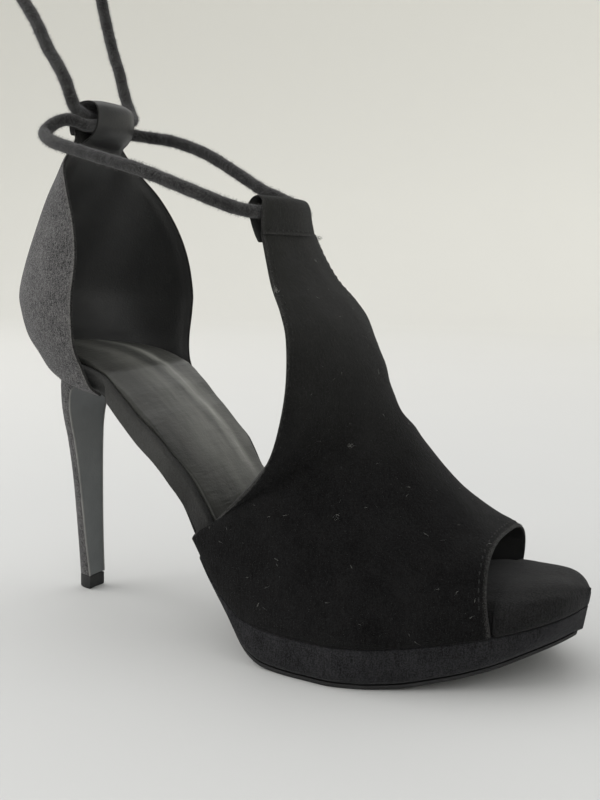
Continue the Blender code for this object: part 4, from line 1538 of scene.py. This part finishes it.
@dataclass
class Vamp:
    """The T-strap upper with the tunnel at its end."""

    columns: int = 48
    steps: int = 10
    last_row: int = 192
    # From the toe opening back. Ridge along, across and height, outer and inner foot along, squareness.
    feet: Table = (
        (0.8720, 0.193, 0.318, 0.8890, 0.8517, 0.72), (0.8590, 0.187, 0.334, 0.8550, 0.8092, 0.75),
        (0.8410, 0.178, 0.352, 0.7874, 0.7488, 0.80), (0.8190, 0.167, 0.377, 0.7101, 0.6763, 0.85),
        (0.7950, 0.157, 0.408, 0.6329, 0.6039, 0.90), (0.7715, 0.148, 0.445, 0.5652, 0.5411, 0.93),
        (0.7490, 0.139, 0.484, 0.5121, 0.4928, 0.96), (0.7295, 0.131, 0.521, 0.4686, 0.4541, 1.00),
        (0.7150, 0.125, 0.552, 0.4372, 0.4251, 1.00),
    )
    # Up the throat. Ridge, outer and inner edge, each along, across and height, and the wrap in degrees.
    throat: Table = (
        (0.7000, 0.120, 0.587, 0.4807, -0.403, 0.325, 0.4662, 0.333, 0.347, 90),
        (0.6855, 0.114, 0.625, 0.5179, -0.409, 0.376, 0.5024, 0.379, 0.399, 90),
        (0.6720, 0.107, 0.662, 0.5536, -0.416, 0.434, 0.5386, 0.412, 0.455, 88),
        (0.6618, 0.101, 0.700, 0.5787, -0.418, 0.499, 0.5652, 0.431, 0.519, 86),
        (0.6483, 0.094, 0.736, 0.5942, -0.416, 0.582, 0.5821, 0.435, 0.601, 82),
        (0.6348, 0.086, 0.771, 0.6005, -0.403, 0.672, 0.5894, 0.431, 0.687, 76),
        (0.6174, 0.077, 0.810, 0.5942, -0.376, 0.767, 0.5860, 0.412, 0.780, 68),
        (0.5961, 0.064, 0.851, 0.5768, -0.340, 0.825, 0.5710, 0.369, 0.837, 60),
        (0.5715, 0.047, 0.894, 0.5507, -0.290, 0.881, 0.5488, 0.314, 0.888, 52),
        (0.5522, 0.029, 0.943, 0.5314, -0.248, 0.940, 0.5324, 0.265, 0.945, 48),
        (0.5353, 0.013, 1.001, 0.5159, -0.220, 0.999, 0.5193, 0.235, 1.000, 45),
        (0.5270, 0.009, 1.030, 0.5085, -0.216, 1.030, 0.5120, 0.229, 1.030, 42),
    )
    # The fold at the strap's end, from its raw lower edge over the top. Along, height, half width, bow.
    fold: Table = (
        (0.1115, 0.1340, 0.0174, 0.0043), (0.1109, 0.1365, 0.0172, 0.0042),
        (0.1102, 0.1395, 0.0166, 0.0039), (0.1096, 0.1425, 0.0158, 0.0034),
        (0.1084, 0.1450, 0.0152, 0.0030), (0.1063, 0.1460, 0.0150, 0.0028),
        (0.1042, 0.1450, 0.0150, 0.0028), (0.1031, 0.1428, 0.0152, 0.0029),
        (0.1035, 0.1406, 0.0155, 0.0029), (0.1047, 0.1382, 0.0159, 0.0031),
        (0.1063, 0.1356, 0.0164, 0.0035), (0.1079, 0.1332, 0.0168, 0.0038),
        (0.1092, 0.1314, 0.0169, 0.0040),
    )
    fold_wall: float = 0.0010
    waves: Table = ((2.3, 1.1, 0.4, 0.00010), (5.1, -1.7, 1.9, 0.00006), (1.2, 3.4, 3.0, 0.00007))
    # Hollows of use. Place along, across and height, reach and depth, in millimetres.
    hollows: Table = (
        (168, -12, 47, 9, 0.35), (150, -29, 40, 12, 0.30), (140, 12, 84, 10, 0.25), (128, -20, 92, 9, 0.35),
        (158, 24, 50, 10, 0.3),
    )
    # Tufts of lint. Row, column and length.
    tufts: tuple[tuple[int, int, float], ...] = (
        (189, 96, 0.0020), (168, 0, 0.0018), (60, 22, 0.0012), (84, 30, 0.0010),
    )

    def side(self, ridge: Sequence[float], edge: Sequence[float], wrap: float, square: float,
             follow: Callable[[np.ndarray], np.ndarray] | None) -> np.ndarray:
        """Half a row, from its edge to just before its ridge.

        Args:
            ridge: the row's highest point.
            edge: its end on this side.
            wrap: how far its arc turns, in degrees.
            square: how square the arc is.
            follow: the plan's side that its foot keeps to, if it ends on the platform.

        Returns:
            The points.
        """
        limit = math.radians(wrap)
        turns = limit * (1 - np.arange(self.columns) / self.columns)
        rise = ((np.cos(turns) - math.cos(limit)) / (1 - math.cos(limit))) ** square
        spread = (np.sin(turns) / math.sin(limit)) ** square
        x = edge[0] + (ridge[0] - edge[0]) * rise
        z = edge[2] + (ridge[2] - edge[2]) * rise
        reach = np.full(len(x), edge[1]) if follow is None else follow(x)
        return np.stack([x, ridge[1] + (reach - ridge[1]) * spread, z], axis=1)

    def grid(self) -> np.ndarray:
        """Lays out the outer face.

        Returns:
            Its points, rows from the toe opening to just under the fold, columns from side to side.
        """
        size = np.array([LENGTH, BALL_WIDTH, STRAP_HEIGHT])
        rows = []
        for row in self.feet:
            ridge = np.array(row[:3]) * size
            halves = []
            for share, follow in ((row[3], LAST.outer), (row[4], LAST.inner)):
                x = share * LENGTH
                edge = (x, float(follow(x)), float(LAST.under(x)) + GAP)
                halves.append(self.side(ridge, edge, 90.0, row[5], follow))
            rows.append(np.concatenate([halves[0], [ridge], halves[1][::-1]]))
        for row in self.throat:
            ridge, outer, inner = (np.array(row[i : i + 3]) * size for i in (0, 3, 6))
            halves = [self.side(ridge, edge, row[9], 1.0, None) for edge in (outer, inner)]
            rows.append(np.concatenate([halves[0], [ridge], halves[1][::-1]]))
        grid = refine(np.array(rows), self.steps)
        standing = self.standing()
        reach = 12
        for foot, follow, picks in ((0, LAST.outer, range(reach)),
                                    (-1, LAST.inner, range(-1, -reach - 1, -1))):
            x = grid[:standing, foot, 0]
            shift = np.stack([np.zeros(standing), follow(x) - grid[:standing, foot, 1],
                              LAST.under(x) + GAP - grid[:standing, foot, 2]], axis=1)
            for number, column in enumerate(picks):
                grid[:standing, column] += shift * (1 - number / reach) ** 2
        return grid[: self.last_row]

    def standing(self) -> int:
        """How many rows end on the platform."""
        return (len(self.feet) - 1) * self.steps + 1

    def soften(self, sheet: Sheet) -> None:
        """Presses the listed hollows and the soft creases of use into the outer face.

        Args:
            sheet: the vamp's wall.
        """
        depth = ripple(sheet.outer.shape[:2], self.waves)
        for x, y, z, wide, deep in self.hollows:
            far = np.linalg.norm(sheet.outer - np.array([x, y, z]) / 1000, axis=-1) / (wide / 1000)
            depth -= deep / 1000 * np.exp(-far * far)
        sheet.press(depth)

    def build(self, finishes: Finishes) -> None:
        """The vamp with its fold, stitches and nap.

        Args:
            finishes: the materials.
        """
        sheet = Sheet(self.grid(), WALL, -1.0, self.standing())
        self.soften(sheet)
        net = Net()
        sheet.fill(net, (Side.FRONT, Side.OUTER, Side.INNER))
        fold = Sheet(fold_over(self.fold), self.fold_wall, -1.0)
        fold.fill(net, (Side.FRONT, Side.OUTER, Side.INNER))
        net.build("vamp_upper", [finishes.vamp, finishes.lining, finishes.rim], "suede", "vamp")
        self.sew(sheet, fold, finishes)
        self.brush(sheet, fold, finishes)
        LOG.info("vamp: upper, fold, stitches and nap")

    def sew(self, sheet: Sheet, fold: Sheet, finishes: Finishes) -> None:
        """Stitches beside the throat's edges, round the toe opening and above the fold's raw edge.

        Args:
            sheet: the vamp's wall.
            fold: the wall of its fold.
            finishes: the materials.
        """
        net, stitching = Net(), Stitching()
        for side in (Side.OUTER, Side.INNER):
            line, ups = sheet.inset(side, 0.0021)
            start = self.standing() + 16
            stitching.sew(net, line[start:-4], ups[start:-4])
        line, ups = sheet.inset(Side.FRONT, 0.0022)
        stitching.sew(net, line[6:-6], ups[6:-6])
        line, ups = fold.inset(Side.FRONT, 0.0013)
        stitching.sew(net, line[1:-1], ups[1:-1])
        net.build("vamp_stitches", [finishes.thread], "suede")

    def brush(self, sheet: Sheet, fold: Sheet, finishes: Finishes) -> None:
        """Nap over the faces and a paler fringe along the raw edges.

        Args:
            sheet: the vamp's wall.
            fold: the wall of its fold.
            finishes: the materials.
        """
        dark, pale = Fuzz(31), Fuzz(32)
        for part, count in ((sheet, 26000), (fold, 3500)):
            ups = part.normals()
            dark.scatter(part.outer, ups, count, 0.00055, Nap.BRUSHED, 0.00007,
                         comb=np.array([0.2, 0.0, -0.5]))
            near = np.exp(-((part.distances((Side.FRONT, Side.OUTER, Side.INNER)) / 0.0007) ** 2))
            pale.scatter(part.outer, ups, count // 6, 0.00050, Nap.UPRIGHT, 0.00005, near)
        ups = sheet.normals()
        pale.scatter(sheet.outer, ups, 2600, 0.00045, Nap.UPRIGHT, 0.00006)
        dark.build("vamp_nap", finishes.nap, "suede")
        pale.build("vamp_fringe", finishes.pale_nap, "suede")
        lint = Fuzz(33)
        lint.scatter(sheet.outer, ups, 110, 0.0022, Nap.BRUSHED, 0.00009)
        for row, column, size in self.tufts:
            spots = sheet.outer[row, column] + lint.draw.normal(size=(40, 3)) * 0.00045
            lint.plant(spots, np.repeat(ups[row, column][None], 40, axis=0), size, Nap.UPRIGHT, 0.00010)
        lint.build("vamp_lint", finishes.lint, "suede")


@dataclass
class Counter:
    """The closed heel counter with its two wings and the tab folded inward."""

    columns: int = 48
    steps: int = 10
    # The fold at its top, from the flap's raw edge to the back. Along, height, half width, bow.
    fold: Table = (
        (0.0283, 0.1622, 0.0112, 0.0004), (0.0304, 0.1645, 0.0108, 0.0008),
        (0.0335, 0.1664, 0.0104, 0.0012), (0.0360, 0.1686, 0.0100, 0.0016),
        (0.0370, 0.1712, 0.0098, 0.0016), (0.0371, 0.1745, 0.0096, 0.0016),
        (0.0362, 0.1769, 0.0096, 0.0014), (0.0338, 0.1782, 0.0097, 0.0010),
        (0.0309, 0.1784, 0.0099, 0.0006), (0.0282, 0.1778, 0.0102, 0.0004),
        (0.0262, 0.1757, 0.0108, 0.0004), (0.0252, 0.1722, 0.0114, 0.0004),
        (0.0257, 0.1690, 0.0119, 0.0005), (0.0264, 0.1674, 0.0121, 0.0005),
    )
    fold_wall: float = 0.0010
    waves: Table = ((1.7, 2.2, 0.9, 0.00012), (3.9, -3.1, 2.2, 0.00008), (0.8, 5.3, 4.0, 0.00006))
    # From the base to the tab. Back and front along, back and front height, half width, wrap in degrees.
    COURSES: ClassVar[Table] = (
        (0.0749, 0.2415, 0.5091, 0.4782, 0.352, 90), (0.0580, 0.2350, 0.5290, 0.4960, 0.396, 90),
        (0.0402, 0.2225, 0.5594, 0.5333, 0.412, 90), (0.0190, 0.2145, 0.5950, 0.5780, 0.440, 90),
        (0.0045, 0.2157, 0.6420, 0.6370, 0.458, 90), (0.0005, 0.2167, 0.6850, 0.6850, 0.459, 90),
        (0.0145, 0.2140, 0.7590, 0.7590, 0.424, 90), (0.0396, 0.1985, 0.8300, 0.8280, 0.389, 88),
        (0.0700, 0.1710, 0.8980, 0.8950, 0.343, 82), (0.0990, 0.1425, 0.9530, 0.9500, 0.270, 72),
        (0.1180, 0.1330, 1.0000, 0.9980, 0.170, 55), (0.1295, 0.1300, 1.0205, 1.0205, 0.157, 45),
    )

    @classmethod
    def keep_inside(cls, ring: np.ndarray) -> np.ndarray:
        """Draws a ring of the insole in where it would touch the counter.

        Args:
            ring: the ring's points.

        Returns:
            The points, none of them outside the counter's wall.
        """
        clearance = 1.75 * WALL + GAP
        x = ring[0, 0]
        if x > cls.COURSES[0][1] * LENGTH + 1.5 * WALL:
            return ring
        heights, halves = [], []
        for back_x, front_x, back_z, front_z, half, _ in cls.COURSES[:6]:
            reach = LENGTH * (front_x - back_x) - clearance
            turn = min(max((LENGTH * front_x - x) / reach, 0.0), 1.0)
            halves.append((BALL_WIDTH * half - clearance) * math.sqrt(1 - turn * turn))
            heights.append(COUNTER_TOP * (front_z + (back_z - front_z) * turn))
        room = np.interp(ring[:, 2], heights, halves)
        kept = ring.copy()
        kept[:, 1] = np.clip(ring[:, 1], -room, room)
        return kept

    def grid(self) -> np.ndarray:
        """Lays out the outer face.

        Returns:
            Its points, rows from its base up to its tab, columns round the heel.
        """
        rows = []
        for back_x, front_x, back_z, front_z, half, wrap in self.COURSES:
            limit = math.radians(wrap)
            turns = limit * np.linspace(-1.0, 1.0, 2 * self.columns + 1)
            rise = (np.cos(turns) - math.cos(limit)) / (1 - math.cos(limit))
            rows.append(np.stack([
                LENGTH * (front_x + (back_x - front_x) * rise),
                BALL_WIDTH * half * np.sin(turns) / math.sin(limit),
                COUNTER_TOP * (front_z + (back_z - front_z) * rise),
            ], axis=1))
        return refine(np.array(rows), self.steps)

    def build(self, finishes: Finishes) -> None:
        """The counter with its fold, stitches and nap.

        Args:
            finishes: the materials.
        """
        sheet = Sheet(self.grid(), WALL, 1.0)
        sheet.press(ripple(sheet.outer.shape[:2], self.waves))
        net = Net()
        edges = (Side.FRONT, Side.OUTER, Side.INNER)
        sheet.fill(net, edges)
        fold = Sheet(fold_over(self.fold), self.fold_wall, 1.0)
        fold.fill(net, edges)
        materials = [finishes.counter, finishes.lining, finishes.rim]
        net.build("heel_counter", materials, "counter_suede", "counter")
        stitches, stitching = Net(), Stitching()
        line, ups = fold.inset(Side.FRONT, 0.0012)
        stitching.sew(stitches, line[1:-1], ups[1:-1])
        stitches.build("counter_stitches", [finishes.thread], "counter_suede")
        fuzz = Fuzz(41)
        for part, count in ((sheet, 15000), (fold, 2500)):
            ups = part.normals()
            near = np.exp(-((part.distances(edges) / 0.0008) ** 2))
            fuzz.scatter(part.outer, ups, count, 0.00055, Nap.BRUSHED, 0.00007,
                         comb=np.array([0.5, 0.0, -0.4]))
            fuzz.scatter(part.outer, ups, count // 5, 0.00075, Nap.UPRIGHT, 0.00005, near)
        fuzz.build("counter_nap", finishes.pale_nap, "counter_suede")
        LOG.info("counter: heel counter, fold, stitches and nap")


@dataclass
class Heel:
    """The slim heel with its smooth breast, and the top piece at its foot."""

    tip_height: float = 0.005
    tip_depth: float = 0.0071
    tip_width: float = 0.0082
    tip_back: float = 0.01915
    back_steps: int = 40
    breast_steps: int = 12
    arch_row: int = 17
    arch_rise: float = 12.0
    # The top piece below its top. How far its sides stand in, and height.
    tip_profile: Table = (
        (0.0006, 0.0), (0.0003, 0.00008), (0.0001, 0.00025), (0.0, 0.0006), (0.0, 0.0025), (0.0, 0.0047),
        (0.0001, 0.0049),
    )
    # Height (share of SEAT_HEIGHT), back and breast along (shares of LENGTH), half width (of BALL_WIDTH).
    rings: Table = (
        (0.950, 0.0700, 0.1290, 0.178), (0.900, 0.0672, 0.1160, 0.155), (0.835, 0.0662, 0.1084, 0.135),
        (0.760, 0.0690, 0.1072, 0.118), (0.680, 0.0742, 0.1095, 0.103), (0.500, 0.0822, 0.1145, 0.083),
        (0.240, 0.0890, 0.1208, 0.065),
    )

    def ring(self, back: float, breast: float, half: float, height: float,
             follow: Callable[[np.ndarray], np.ndarray] | None = None) -> np.ndarray:
        """One D shaped section: round at the back, a little hollow at the breast.

        Args:
            back: its rearmost place along.
            breast: where its breast stands along.
            half: half its width.
            height: its height.
            follow: gives the height at each place along instead, if it isn't level.

        Returns:
            The section's points.
        """
        turns = math.pi * (np.linspace(0.0, 1.0, self.back_steps + 1) - 0.5)
        cosines = np.maximum(np.cos(turns), 0.0)
        x = breast - (breast - back) * cosines**0.9
        y = half * np.sin(turns)
        shares = np.linspace(1.0, -1.0, self.breast_steps + 1)[1:-1]
        x = np.concatenate([x, breast - 0.06 * half * (1 - shares**2)])
        y = np.concatenate([y, half * shares])
        z = np.full(len(x), height) if follow is None else follow(x)
        return np.stack([x, y, z], axis=1)

    def edge_line(self, breast: np.ndarray) -> np.ndarray:
        """The wrapped edge: up one side of the breast, over in an arch and down the other.

        Args:
            breast: the breast's points, rows from the seat down.

        Returns:
            The edge's points.
        """
        first, last = breast[self.arch_row :, 0][::-1], breast[self.arch_row :, -1]
        arch = []
        for share in np.linspace(0.0, 1.0, 31)[1:-1]:
            row = self.arch_row - self.arch_rise * math.sin(math.pi * share) ** 0.7
            column = share * (breast.shape[1] - 1)
            i, j = min(int(row), len(breast) - 2), min(int(column), breast.shape[1] - 2)
            u, v = row - i, column - j
            near = breast[i, j] * (1 - v) + breast[i, j + 1] * v
            arch.append(near * (1 - u) + (breast[i + 1, j] * (1 - v) + breast[i + 1, j + 1] * v) * u)
        return np.concatenate([first, np.array(arch), last])

    def build(self, finishes: Finishes) -> None:
        """The heel, its wrapped edge line, its nap and its top piece.

        Args:
            finishes: the materials.
        """
        rows = [self.ring(0.0775 * LENGTH, 0.147 * LENGTH, 0.196 * BALL_WIDTH, 0.0,
                          lambda x: LAST.under(x) - GAP)]
        for height, back, breast, half in self.rings:
            rows.append(self.ring(back * LENGTH, breast * LENGTH, half * BALL_WIDTH, height * SEAT_HEIGHT))
        front = self.tip_back + self.tip_depth
        rows.append(self.ring(self.tip_back, front, 0.5 * self.tip_width, self.tip_height + GAP))
        grid = refine(np.array(rows), 10)
        net = Net()
        back = grid[:, : self.back_steps + 1]
        breast = np.concatenate([grid[:, self.back_steps :], grid[:, :1]], axis=1)
        net.grid(back, 0)
        net.grid(breast, 1)
        for end in (0, -1):
            net.cap(grid[end])
        # A thin tube along the wrap's edge; its pale colour is a painted highlight.
        line = evenly(self.edge_line(breast), 0.0007)
        tube(net, line, np.full(len(line), 0.00030), 8, 2)
        # The heel's suede back takes the counter's suede, whose pale tone is painted sheen and light.
        net.build("heel_stem", [finishes.counter, finishes.breast, finishes.piping], "heel_wrap", "heel")
        ups = unit(np.cross(np.gradient(back, axis=0), np.gradient(back, axis=1)))
        middle = np.mean(grid, axis=1, keepdims=True)
        ups = ups * np.sign(np.sum(ups * (back - middle), axis=-1, keepdims=True))
        fuzz = Fuzz(51)
        fuzz.scatter(back, ups, 3500, 0.00045, Nap.BRUSHED, 0.00006, comb=np.array([0.0, 0.0, -0.8]))
        fuzz.build("heel_nap", finishes.pale_nap, "heel_wrap")
        self.top_piece(finishes)
        LOG.info("heel: stem, edge lines, nap and top piece")

    def top_piece(self, finishes: Finishes) -> None:
        """The rubber top piece that the heel stands on.

        Args:
            finishes: the materials.
        """
        front = self.tip_back + self.tip_depth
        rows = []
        for inset, height in (*self.tip_profile, (0.0003, self.tip_height)):
            half = 0.5 * self.tip_width - inset
            rows.append(self.ring(self.tip_back + inset, front - inset, half, height))
        net = Net()
        net.loft(np.array(rows))
        net.build("top_piece", [finishes.rubber], "tip_rubber", "heel_tip")


def main() -> None:
    """Builds the sandal, piece by piece."""
    logging.basicConfig(level=logging.INFO, format="%(name)s: %(message)s")
    finishes = Finishes.make()
    Studio().build()
    Tie().build(finishes)
    Sole().build(finishes)
    Vamp().build(finishes)
    Counter().build(finishes)
    Heel().build(finishes)


if __name__ == "__main__":
    main()
